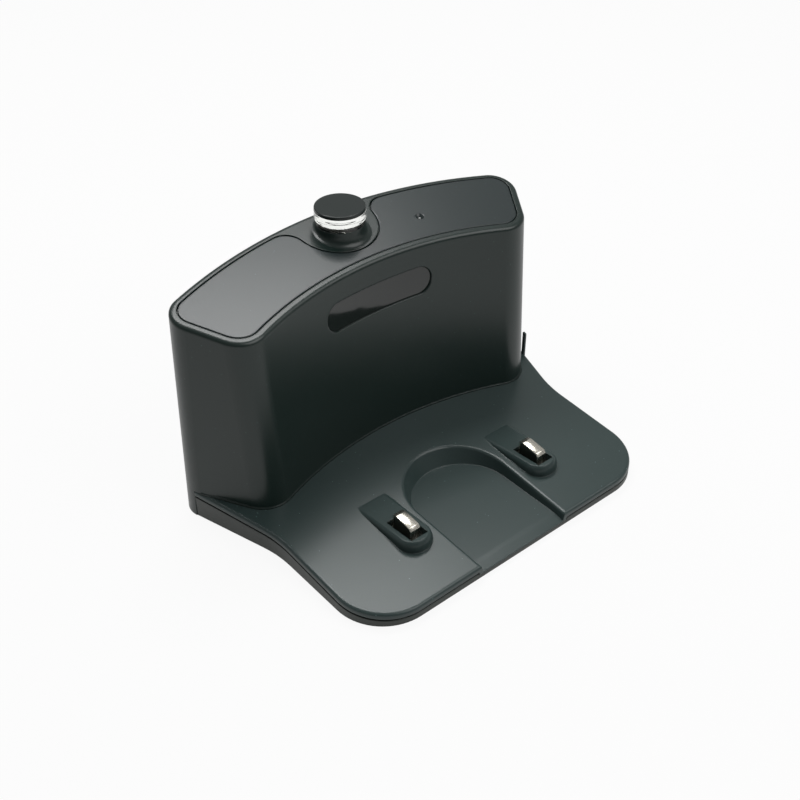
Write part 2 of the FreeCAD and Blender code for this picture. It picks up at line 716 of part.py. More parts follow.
def bay_loft(body, kind, name, grow, low_z):
    """Bay block or bay cut, drawn out upwards from a height."""
    high_z = low_z + BAY_LEVELS * val("bay_rise")
    low = make_sketch(body, name + "_low", "XY_Plane", bay_outline(grow, 0.0), at_height(low_z))
    high = make_sketch(body, name + "_high", "XY_Plane", bay_outline(grow, BAY_LEVELS), at_height(high_z))
    loft(body, kind, name, low, high)


def bore_depth(length_name):
    """Depth of a screw bore over the posts' meeting height."""
    tip = tray_bottom + val("fit_gap") + val("screw_head_height") + val(length_name)
    return tip - val("post_top") + val("bore_gap")


def points_of(edge):
    middle = edge.valueAt((edge.FirstParameter + edge.LastParameter) / 2)
    return [vertex.Point for vertex in edge.Vertexes] + [middle]


NEAR = 0.01


def is_deck_rim(edge):
    """Edges of the deck's top surface along its free outline and round the bay."""
    if edge.BoundBox.YMin > val("step_y") - val("fit_gap"):
        return False
    return all(abs(point.z - deck_z(point.y)) < NEAR for point in points_of(edge))


def is_ramp_edge(edge):
    """Crease between the bay floor and its falling lip."""
    ramp_y = -val("front_reach") + val("bay_ramp")
    floor = val("bay_floor")
    return all(abs(point.y - ramp_y) < NEAR and abs(point.z - floor) < NEAR for point in points_of(edge))


# Sections of a boss: share of the tilt, share of the root, inset as a share of the rounding
BOSS_MIDDLE = (0.8, 0.2, 0.12)
BOSS_TOP = (1.0, 0.0, 1.0)


def build_bosses(body):
    """Round-sided bosses that rise to the front, slotted for the contacts and hollow below."""
    rear = val("boss_rear")
    crease = deck_z(rear)
    flat = val("deck_slope")
    steep = math.degrees(math.atan((val("boss_front_top") - crease) / (val("boss_front") - rear)))
    foot = (0.0, 1.0, -val("boss_spread") / val("boss_round"))
    for label, side in SIDES:
        sketches = []
        for number, (tilt, sink, share) in enumerate([foot, BOSS_MIDDLE, BOSS_TOP]):
            inset = share * val("boss_round")
            angle = flat + tilt * (steep - flat)
            plan = onto_tilt(boss_outline(side * val("contact_x"), inset), rear, angle)
            place = tilted(rear, crease - sink * val("boss_root"), angle)
            sketches.append(make_sketch(body, "boss_%s_%d" % (label, number), "XY_Plane", plan, place))
        loft(body, "AdditiveLoft", "boss_" + label, *sketches)
    wells = []
    slots = []
    for _, side in SIDES:
        x = side * val("contact_x")
        well_half = val("well_half_width")
        slot_half = val("slot_half_width")
        wells += rectangle(x - well_half, val("well_front"), x + well_half, val("well_rear"))
        slots += rectangle(x - slot_half, val("slot_front"), x + slot_half, val("slot_rear"))
    well = make_sketch(body, "well_sketch", "XY_Plane", wells)
    pocket(body, "wells", well, "Sheet.well_top", reverse=True)
    slot = make_sketch(body, "slot_sketch", "XY_Plane", slots)
    pocket(body, "slots", slot, reverse=True)


def boss_outline(x, inset):
    half = val("boss_half_width") - inset
    front = val("boss_front") + inset
    rear = val("boss_rear") - inset
    corner = val("boss_corner") - inset
    corners = [(x - half, rear), (x - half, front), (x + half, front), (x + half, rear)]
    return rounded(corners, [0, corner, corner, 0])


def build_tab(body):
    """Thin upright tab, flush with the deck's right edge."""
    splay = math.radians(val("splay_angle"))
    along = (math.sin(splay), math.cos(splay))
    inward = (-math.cos(splay), math.sin(splay))
    y = val("tab_y")
    edge_x = val("deck_half_width") + (y - val("bend_y")) * math.tan(splay)
    half = val("tab_length") / 2
    thick = val("tab_thickness")
    corners = []
    for reach, depth in [(-half, 0.0), (half, 0.0), (half, thick), (-half, thick)]:
        corner_x = edge_x + along[0] * reach + inward[0] * depth
        corner_y = y + along[1] * reach + inward[1] * depth
        corners.append((corner_x, corner_y))
    root = at_height(deck_z(y) - val("tab_root"))
    sketch = make_sketch(body, "tab_sketch", "XY_Plane", polygon(corners), root)
    pad(body, "tab", sketch, "Sheet.tab_height + Sheet.tab_root")


# Tower shell: lofted walls under a sloping top, with the beacon mound and the window opening

def build_tower():
    body = make_body("tower_shell")
    wall = val("wall")
    low = make_sketch(body, "tower_low", "XY_Plane", tower_outline(0.0, 0.0), at_height(tray_bottom))
    high = make_sketch(body, "tower_high", "XY_Plane", onto_slope(tower_outline(1.0, 0.0)), on_slope(0.0))
    loft(body, "AdditiveLoft", "tower_block", low, high)
    build_foot_round(body)
    under = at_height(tray_bottom - val("fit_gap"))
    inner_low = make_sketch(body, "cavity_low", "XY_Plane", tower_outline(0.0, wall), under)
    inner_high = make_sketch(body, "cavity_high", "XY_Plane", onto_slope(tower_outline(1.0, wall)),
                             on_slope(wall + val("panel_thickness")))
    loft(body, "SubtractiveLoft", "cavity", inner_low, inner_high)
    fillet(body, "tower_rim", edges_where(body.Shape, is_tower_rim), "Sheet.rim_radius")
    step = val("step_y") + val("joint_gap")
    near_y = -val("front_reach")
    under_y = -val("margin")
    notch = polygon([(near_y, under_y), (step, under_y), (step, deck_z(step)), (near_y, deck_z(near_y))])
    notch_sketch = make_sketch(body, "deck_notch_sketch", "YZ_Plane", notch)
    pocket(body, "deck_notch", notch_sketch, both_sides=True)
    recess = onto_slope(panel_outline(val("panel_inset") - val("panel_gap"), -val("saddle_gap")))
    recess_sketch = make_sketch(body, "panel_recess_sketch", "XY_Plane", recess, on_slope(0.0))
    pocket(body, "panel_recess", recess_sketch, "Sheet.panel_thickness")
    build_mound(body)
    opening = stadium(val("window_half_length"), val("window_height"), window_z())
    window = make_sketch(body, "window_sketch", "XZ_Plane", opening)
    pocket(body, "window_cut", window, "Sheet.front_wall_high + 3 * Sheet.wall")
    fillet(body, "window_edge", edges_where(body.Shape, is_window_edge), "Sheet.window_round")
    lamp_hole(body, "lamp_hole")
    for number, (x, y) in enumerate(tower_posts):
        post = circle_sketch(body, "tower_post_%d_sketch" % number, "XY_Plane", [(x, y)], val("post_radius"),
                             at_height(val("post_top")))
        length = top_z(y) - val("panel_thickness") - wall / 2 - val("post_top")
        pad(body, "tower_post_%d" % number, post, "%.3f" % length)
    posts = circle_sketch(body, "tower_bores_sketch", "XY_Plane", tower_posts,
                          val("screw_radius") + val("bore_gap"), at_height(val("post_top")))
    pocket(body, "tower_bores", posts, "%.3f" % bore_depth("tower_screw_length"), reverse=True)
    build_standoffs(body)
    inlet = circle_sketch(body, "inlet_sketch", "XZ_Plane", [(0.0, val("inlet_z"))],
                          val("inlet_radius") + val("bore_gap"), at_depth(val("beacon_y")))
    pocket(body, "inlet_hole", inlet)
    return body


def at_depth(y):
    """Offset of an upright sketch plane that faces the front."""
    return FreeCAD.Placement(FreeCAD.Vector(0, 0, -y), FreeCAD.Rotation())


# Sections of the foot rounding: height and growth as shares of its size
FOOT_SECTIONS = [(-0.25, 1.25), (0.25, 0.45), (1.0, -0.15)]


def build_foot_round(body):
    """Hollow rounding where the tower's front and ends meet the deck."""
    middle = val("front_wall_low")
    share = (deck_z(middle) - tray_bottom) / (val("rim_height") - tray_bottom)
    size = val("foot_round")
    sketches = []
    for number, (height, growth) in enumerate(FOOT_SECTIONS):
        plan = onto_tilt(foot_outline(share, growth * size), middle, val("deck_slope"))
        place = tilted(middle, deck_z(middle) + height * size, val("deck_slope"))
        sketches.append(make_sketch(body, "foot_round_%d" % number, "XY_Plane", plan, place))
    loft(body, "AdditiveLoft", "foot_round", *sketches)


def wall_face(x, z):
    """How far back the face of the front wall lies."""
    share = (z - tray_bottom) / (val("rim_height") - tray_bottom)
    radius = val("front_wall_radius")
    return between("front_wall", share) - radius + math.sqrt(radius * radius - x * x)


def is_window_edge(edge):
    """Edges of the window opening on the face of the front wall."""
    half = val("window_half_length") + NEAR
    rise = val("window_height") / 2 + NEAR
    for point in points_of(edge):
        if abs(point.x) > half or abs(point.z - window_z()) > rise:
            return False
        if abs(point.y - wall_face(point.x, point.z)) > val("wall") / 2:
            return False
    return True


def is_tower_rim(edge):
    points = [vertex.Point for vertex in edge.Vertexes]
    return all(abs(point.z - top_z(point.y)) < NEAR for point in points)


# Sections of the mound: share of its rise, of the flare and of the forward shift
MOUND_SECTIONS = [(0.02, 0.68, 0.75), (0.12, 0.37, 0.45), (0.4, 0.14, 0.15), (1.0, 0.0, 0.0)]


def build_mound(body):
    """Flared neck that grows out of the sloping top and ends level under the lens, bored for the emitter."""
    y = val("beacon_y")
    neck = val("beacon_radius") - val("neck_inset")
    slope = math.tan(math.radians(val("top_slope")))
    root = tilted(y, top_z(y) - val("mound_root"), val("top_slope"))
    centre = [(0.0, -val("flare_shift"))]
    sketches = [circle_sketch(body, "mound_root_sketch", "XY_Plane", centre, val("flare_radius"), root)]
    for number, (rise, flare, shift) in enumerate(MOUND_SECTIONS):
        height = top_z(y) + rise * (lens_low() - top_z(y))
        place = tilted(y, height, math.degrees(math.atan((1 - rise) * slope)))
        radius = neck + flare * (val("flare_radius") - neck)
        centre = [(0.0, -shift * val("flare_shift"))]
        sketches.append(circle_sketch(body, "mound_%d_sketch" % number, "XY_Plane", centre, radius, place))
    loft(body, "AdditiveLoft", "mound", *sketches)
    bore = val("beacon_radius") - val("lens_wall") - val("seat_width")
    hole = circle_sketch(body, "mound_bore_sketch", "XY_Plane", [(0.0, y)], bore, at_height(window_z()))
    pocket(body, "mound_bore", hole, reverse=True)


def lens_low():
    return beacon_top() - val("cap_thickness") - val("lens_height")


def lamp_hole(body, name):
    radius = val("lamp_radius") + val("bore_gap")
    place = [(val("lamp_x"), val("lamp_y"))]
    sketch = circle_sketch(body, name + "_sketch", "XY_Plane", place, radius, at_height(window_z()))
    pocket(body, name, sketch, reverse=True)


def board_y():
    return val("front_wall_high") + val("board_setback")


def build_standoffs(body):
    """Two stand-offs behind the front wall that carry the window board."""
    for label, side in SIDES:
        place = [(side * val("board_post_x"), window_z())]
        sketch = circle_sketch(body, "standoff_sketch_" + label, "XZ_Plane", place, val("board_post_radius"),
                               at_depth(board_y()))
        pad(body, "standoff_" + label, sketch, "Sheet.board_setback + Sheet.wall")


# Top panel, window and light pipe

def build_panel():
    body = make_body("top_panel")
    outline = onto_slope(panel_outline(val("panel_inset"), 0.0))
    sketch = make_sketch(body, "panel_sketch", "XY_Plane", outline, on_slope(val("panel_thickness")))
    pad(body, "panel", sketch, "Sheet.panel_thickness")
    fillet(body, "panel_edge", edges_where(body.Shape, is_tower_rim), "Sheet.panel_thickness / 4")
    lamp_hole(body, "panel_lamp")
    dish = body.newObject("PartDesign::Chamfer", "lamp_dish")
    dish.Base = (dish.BaseFeature, edges_where(dish.BaseFeature.Shape, is_lamp_rim))
    dish.setExpression("Size", "Sheet.lamp_dish")
    settle(body, "lamp_dish", -1)
    return body


def is_lamp_rim(edge):
    """Upper edge of the status lamp's hole."""
    middle = edge.BoundBox.Center
    away = math.hypot(middle.x - val("lamp_x"), middle.y - val("lamp_y"))
    return away < val("lamp_radius") and is_tower_rim(edge)


def wall_band(share, near, far, half):
    """Plan slice of the front wall between two depths behind its face, cut at a half width."""
    front = between("front_wall", share)
    centre = front - val("front_wall_radius")

    def on_arc(depth):
        radius = val("front_wall_radius") + depth
        return half, centre + math.sqrt(radius * radius - half * half)

    near_end = on_arc(near)
    far_end = on_arc(far)
    return [
        [mirrored(near_end), (0.0, front + near), near_end],
        [near_end, far_end],
        [far_end, (0.0, front + far), mirrored(far_end)],
        [mirrored(far_end), mirrored(near_end)],
    ]


def build_window():
    body = make_body("ir_window")
    near = val("window_recess")
    far = near + val("window_thickness")
    half = val("window_half_length") + val("wall")
    low = make_sketch(body, "window_low", "XY_Plane", wall_band(0.0, near, far, half), at_height(tray_bottom))
    high = make_sketch(body, "window_high", "XY_Plane", wall_band(1.0, near, far, half),
                       at_height(val("rim_height")))
    loft(body, "AdditiveLoft", "window_band", low, high)
    limit = 2 * val("rim_height")
    gap = val("joint_gap")
    frame = make_sketch(body, "window_frame", "XZ_Plane", rectangle(-limit, -limit, limit, limit))
    add_segments(frame, stadium(val("window_half_length") - gap, val("window_height") - 2 * gap, window_z()))
    pocket(body, "window_trim", frame, both_sides=True)
    return body


def pipe_low():
    """Lower end of the light pipe, where the status lamp begins."""
    return top_z(val("lamp_y")) - val("pipe_drop") - val("pipe_length")


def build_pipe():
    """Light pipe: a clear rod with a collar, its head just below the panel face."""
    x = val("lamp_x")
    y = val("lamp_y")
    rod = cylinder("pipe_rod", "Sheet.lamp_radius", "Sheet.pipe_length", (x, y, pipe_low()))
    ring_radius = "Sheet.lamp_radius + Sheet.pipe_collar"
    ring = cylinder("pipe_ring", ring_radius, "Sheet.pipe_collar", (x, y, pipe_low()))
    return fuse("light_pipe", [rod, ring])


def fuse(label, pieces):
    whole = doc.addObject("Part::MultiFuse", label)
    whole.Label = label
    whole.Shapes = pieces
    return whole


def cut(label, base, tool):
    rest = doc.addObject("Part::Cut", label)
    rest.Label = label
    rest.Base = base
    rest.Tool = tool
    return rest


def cylinder(name, radius, height, base, turn=None):
    rod = doc.addObject("Part::Cylinder", name)
    rod.Label = name
    bind(rod, Radius=radius, Height=height)
    rod.Placement = FreeCAD.Placement(FreeCAD.Vector(*base), turn or FreeCAD.Rotation())
    return rod


def box(name, length, width, height, corner):
    block = doc.addObject("Part::Box", name)
    block.Label = name
    bind(block, Length=length, Width=width, Height=height)
    block.Placement.Base = FreeCAD.Vector(*corner)
    return block


# Beacon: lens ring, cap, reflector cone, emitter and its board

def turned(label, profile, y):
    body = make_body(label)
    sketch = make_sketch(body, label + "_sketch", "XZ_Plane", profile, at_depth(y))
    revolve(body, label + "_turned", sketch)
    return body


def build_beacon():
    y = val("beacon_y")
    outer = val("beacon_radius")
    inner = outer - val("lens_wall")
    low = lens_low()
    high = low + val("lens_height")
    tier = low + val("lens_tier")
    step = val("lens_step")
    ring = turned("lens_ring", polygon([
        (inner, low),
        (outer - step, low),
        (outer - step, tier),
        (outer, tier + step / 2),
        (outer, high),
        (inner, high),
    ]), y)
    edge = val("cap_thickness") / 3
    side = outer - val("bore_gap")
    top = beacon_top()
    bulge = edge * (1 - math.sqrt(0.5))
    cap = turned("lens_cap", [
        [(0.0, high), (side, high)],
        [(side, high), (side, top - edge)],
        [(side, top - edge), (side - bulge, top - bulge), (side - edge, top)],
        [(side - edge, top), (0.0, top)],
        [(0.0, top), (0.0, high)],
    ], y)
    cone = inner - val("fit_gap")
    tip = low + val("cone_lift")
    reflector = turned("beacon_reflector", polygon([
        (0.0, tip),
        (val("cone_tip"), tip),
        (cone, high - val("cone_rim")),
        (cone, high),
        (0.0, high),
    ]), y)
    board_top = top_z(y) - val("beacon_board_drop")
    board_length = "Sheet.beacon_board_left + Sheet.lamp_x + Sheet.beacon_board_right"
    corner = (-val("beacon_board_left"), y - val("beacon_board_front"), board_top - val("board"))
    board = box("beacon_board", board_length, "Sheet.beacon_board_width", "Sheet.board", corner)
    emitter_height = low - val("emitter_drop") - board_top
    emitter = cylinder("beacon_emitter", "Sheet.emitter_radius", "%.3f" % emitter_height, (0.0, y, board_top))
    lamp_corner = (val("lamp_x") - val("lamp_length") / 2, val("lamp_y") - val("lamp_width") / 2, board_top)
    lamp_height = "%.3f" % (pipe_low() - board_top)
    lamp = box("status_led", "Sheet.lamp_length", "Sheet.lamp_width", lamp_height, lamp_corner)
    return [ring, cap, reflector, board, emitter, lamp]


def build_window_board():
    """Upright board behind the window with two infrared emitters."""
    half = val("board_post_x") + val("board_margin")
    corner = (-half, board_y(), window_z() - val("board_height") / 2)
    length = "2 * (Sheet.board_post_x + Sheet.board_margin)"
    board = box("window_board", length, "Sheet.board", "Sheet.board_height", corner)
    forward = FreeCAD.Rotation(FreeCAD.Vector(1, 0, 0), 90)
    pieces = [board]
    heads = []
    for label, side in SIDES:
        x = side * val("window_half_length") / 2
        rod = cylinder("ir_rod_" + label, "Sheet.emitter_radius", "Sheet.emitter_length",
                       (x, board_y(), window_z()), forward)
        dome = doc.addObject("Part::Sphere", "ir_dome_" + label)
        bind(dome, Radius="Sheet.emitter_radius")
        dome.Placement.Base = FreeCAD.Vector(x, board_y() - val("emitter_length"), window_z())
        pieces.append(fuse("ir_emitter_" + label, [rod, dome]))
        head_y = board_y() + val("board") + val("board_head")
        head_radius = "Sheet.screw_radius + Sheet.board_head / 2"
        head_place = (side * val("board_post_x"), head_y, window_z())
        heads.append(cylinder("board_head_" + label, head_radius, "Sheet.board_head", head_place, forward))
    pieces.append(group("board_screws", heads))
    return pieces


def group(label, pieces):
    many = doc.addObject("Part::Compound", label)
    many.Label = label
    many.Links = pieces
    return many


# Power inlet, ballast, feet and screws

def build_inlet():
    back = FreeCAD.Rotation(FreeCAD.Vector(1, 0, 0), -90)
    z = val("inlet_z")
    face = val("rear_wall_low") - val("inlet_recess")
    floor = face - val("inlet_depth")
    start = floor - val("inlet_back")
    half = val("inlet_block") / 2
    whole = "Sheet.inlet_depth + Sheet.inlet_back"
    inside = "Sheet.inlet_depth - Sheet.inlet_pin"
    side = "Sheet.inlet_block"
    collar = cylinder("inlet_collar", "Sheet.inlet_radius", whole, (0.0, start, z), back)
    block = box("inlet_body", side, inside, side, (-half, start, z - half))
    solid = fuse("inlet_solid", [collar, block])
    bore = cylinder("inlet_bore_tool", "Sheet.inlet_bore", whole, (0.0, floor, z), back)
    socket = cut("dc_inlet", solid, bore)
    pin = cylinder("inlet_pin", "Sheet.inlet_pin", inside, (0.0, floor, z), back)
    return [socket, pin]


def build_ballast():
    corner = (-val("ballast_half_length"), val("step_y") + val("ballast_setback"), tray_top)
    length = "2 * Sheet.ballast_half_length"
    return box("ballast_plate", length, "Sheet.ballast_width", "Sheet.ballast_height", corner)


def build_feet():
    feet = []
    for number, (x, y) in enumerate(foot_places):
        feet.append(cylinder("foot_%d" % number, "Sheet.foot_radius - Sheet.joint_gap",
                             "Sheet.foot_proud + Sheet.foot_seat", (x, y, 0.0)))
    return group("rubber_feet", feet)


def screws(label, places, length):
    pieces = []
    low = tray_bottom + val("fit_gap")
    shank_low = low + val("screw_head_height")
    for number, (x, y) in enumerate(places):
        name = "%s_%d" % (label, number)
        head = cylinder(name + "_head", "Sheet.screw_head_radius", "Sheet.screw_head_height", (x, y, low))
        shank = cylinder(name + "_shank", "Sheet.screw_radius", length, (x, y, shank_low))
        pieces.append(fuse(name, [head, shank]))
    return group(label, pieces)


# Charging contacts: bent strip on a slider, held up by a coil spring

def crossing(first, second):
    """Where two lines meet, each given by a point and a direction."""
    (px, py), (ux, uy) = first
    (qx, qy), (vx, vy) = second
    along = ((qx - px) * vy - (qy - py) * vx) / (ux * vy - uy * vx)
    return px + ux * along, py + uy * along


def inside_line(points, thick):
    """Line one thickness inside a bent strip; both ends stay at their height."""
    level = (points[0], (1.0, 0.0))
    lines = [level]
    for (y0, z0), (y1, z1) in zip(points, points[1:]):
        dy, dz = unit(y1 - y0, z1 - z0)
        lines.append(((y0 - dz * thick, z0 + dy * thick), (dy, dz)))
    lines.append(level)
    return [crossing(first, second) for first, second in zip(lines, lines[1:])]


def build_contact(label, side):
    x = side * val("contact_x")
    top = val("contact_top")
    front = val("contact_front")
    rear = val("contact_rear")
    nose = val("strip_nose")
    low_top = top - val("strip_fall")
    flange_top = val("well_top") - val("flange_gap")
    outside = [
        (rear, flange_top),
        (rear - val("strip_lean"), top - val("strip_ramp_drop")),
        (rear - val("strip_ramp"), top),
        (front + nose, low_top),
        (front, low_top - nose),
        (front, flange_top),
    ]
    inside = inside_line(outside, val("strip"))
    strip_body = make_body("contact_" + label)
    half_in = FreeCAD.Placement(FreeCAD.Vector(0, 0, x), FreeCAD.Rotation())
    strip_plan = polygon(outside + inside[::-1])
    strip_sketch = make_sketch(strip_body, "strip_sketch_" + label, "YZ_Plane", strip_plan, half_in)
    pad(strip_body, "strip_" + label, strip_sketch, "Sheet.contact_width", both_sides=True)
    slider = make_body("contact_slider_" + label)
    core = make_sketch(slider, "core_sketch_" + label, "YZ_Plane", polygon(inside), half_in)
    pad(slider, "core_" + label, core, "Sheet.contact_width - 2 * Sheet.core_inset", both_sides=True)
    gap = val("fit_gap")
    flange = rectangle(x - val("well_half_width") + gap, val("well_front") + gap,
                       x + val("well_half_width") - gap, val("well_rear") - gap)
    flange_low = flange_top - val("flange_thickness")
    flange_sketch = make_sketch(slider, "flange_sketch_" + label, "XY_Plane", flange, at_height(flange_low))
    pad(slider, "flange_" + label, flange_sketch, "Sheet.flange_thickness")
    spring = build_spring("contact_spring_" + label, x, flange_low)
    return [strip_body, slider, spring]


def build_spring(label, x, high):
    """Coil between the tray floor and the slider flange; the wire's ends touch both."""
    wire = val("spring_wire")
    rise = high - tray_top - wire
    helix = Part.makeHelix(rise / val("spring_turns"), rise, val("spring_radius"))
    start = FreeCAD.Vector(val("spring_radius"), 0, 0)
    ring = Part.Wire([Part.makeCircle(wire / 2, start, FreeCAD.Vector(0, 1, 0))])
    coil = Part.Wire(helix.Edges).makePipeShell([ring], True, True)
    spring = doc.addObject("Part::Feature", label)
    spring.Label = label
    spring.Shape = coil
    spring.Placement.Base = FreeCAD.Vector(x, spring_y(), tray_top + wire / 2)
    return spring


nodes = [build_tray(), build_deck(), build_tower(), build_panel(), build_window(), build_pipe()]
nodes += build_beacon()
nodes += build_window_board()
nodes += build_inlet()
nodes += [build_ballast(), build_feet()]
nodes.append(screws("deck_screws", deck_posts, "Sheet.screw_length"))
nodes.append(screws("tower_screws", tower_posts, "Sheet.tower_screw_length"))
for side_label, side_sign in SIDES:
    nodes += build_contact(side_label, side_sign)
doc.recompute()

for thing in doc.Objects:
    if "Invalid" in thing.State or "Error" in thing.State:
        raise RuntimeError("%s failed: %s" % (thing.Name, thing.State))
for node in nodes:
    if node.Shape.isNull() or not node.Shape.isValid():
        raise RuntimeError("%s has no valid shape" % node.Label)
for node in nodes:
    node.Shape.exportStep(os.path.join("parts", node.Label + ".step"))
    box_of = node.Shape.BoundBox
    print("%-24s solids %d  volume %.0f  z %.2f to %.2f" % (
        node.Label, len(node.Shape.Solids), node.Shape.Volume, box_of.ZMin, box_of.ZMax))
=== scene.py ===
import json
import math

import bmesh
import bpy
from mathutils import Matrix, Vector


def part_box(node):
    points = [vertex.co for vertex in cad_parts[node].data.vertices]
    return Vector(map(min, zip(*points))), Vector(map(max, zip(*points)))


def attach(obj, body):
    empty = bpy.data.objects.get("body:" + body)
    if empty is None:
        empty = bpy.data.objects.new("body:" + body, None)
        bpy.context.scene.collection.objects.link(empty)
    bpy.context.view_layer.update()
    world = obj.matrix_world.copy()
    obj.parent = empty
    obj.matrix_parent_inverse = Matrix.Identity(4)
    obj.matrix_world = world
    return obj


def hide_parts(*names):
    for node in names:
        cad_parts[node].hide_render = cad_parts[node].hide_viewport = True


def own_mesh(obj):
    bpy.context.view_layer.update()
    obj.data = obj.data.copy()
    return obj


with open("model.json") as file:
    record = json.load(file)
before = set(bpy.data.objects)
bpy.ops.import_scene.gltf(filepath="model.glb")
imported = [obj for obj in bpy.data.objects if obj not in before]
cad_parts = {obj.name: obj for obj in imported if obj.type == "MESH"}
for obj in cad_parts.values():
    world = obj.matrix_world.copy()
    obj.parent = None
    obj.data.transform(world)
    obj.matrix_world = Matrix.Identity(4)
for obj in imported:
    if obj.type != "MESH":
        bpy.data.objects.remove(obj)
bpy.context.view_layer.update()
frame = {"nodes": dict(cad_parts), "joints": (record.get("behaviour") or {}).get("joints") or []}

bl_info = {
    "name": "Charging Dock Finish",
    "version": (1, 0, 0),
    "blender": (4, 5, 0),
    "location": "3D View > Sidebar > Dock",
    "description": "Dresses the packed charging dock: plastics, optics, metal contacts and a studio stage",
    "category": "Object",
}

NODES = frame["nodes"]
BODY = "dock"
SIDES = ("left", "right")
IMAGE_SIZE = 800.0
SENSOR_WIDTH = 36.0
MM = 0.001

# Modelling limits
MERGE_DISTANCE = 0.001 * MM
FLAT_ANGLE = math.radians(0.5)
SMOOTH_ANGLE = math.radians(32.0)
STRIP_EDGE_ANGLE = math.radians(15.0)
FACING = 0.9
NEAR = 0.1 * MM
LENS_SIDES = 192

# Surface detail: shares of a grain's size or of a roughness, and depths
GRAIN_DEPTH = 0.2
EDGE_SAMPLES = 6
STREAK_SPREAD = 0.7
STREAK_DEPTH = 0.05 * MM
RIPPLE_STRENGTH = 0.03
RIPPLE_DEPTH = 0.1 * MM
CLEAR_INDEX = 1.49
# Ragged edge and lift of the painted shade on the lens's lower tier
TIER_RAG = 1.2 * MM
TIER_LIFT = 0.2 * MM


# Settings

def colour_setting(name, description, default):
    return bpy.props.FloatVectorProperty(
        name=name, description=description, subtype="COLOR", size=3, min=0.0, max=1.0, default=default)


def length_setting(name, description, default):
    return bpy.props.FloatProperty(
        name=name, description=description, subtype="DISTANCE", unit="LENGTH", min=0.0, default=default)


def share_setting(name, description, default):
    return bpy.props.FloatProperty(
        name=name, description=description, subtype="FACTOR", min=0.0, max=1.0, default=default)


def angle_setting(name, description, degrees):
    return bpy.props.FloatProperty(
        name=name, description=description, subtype="ANGLE", unit="ROTATION", default=math.radians(degrees))


def power_setting(name, description, watts):
    return bpy.props.FloatProperty(
        name=name, description=description, subtype="POWER", unit="POWER", min=0.0, default=watts)


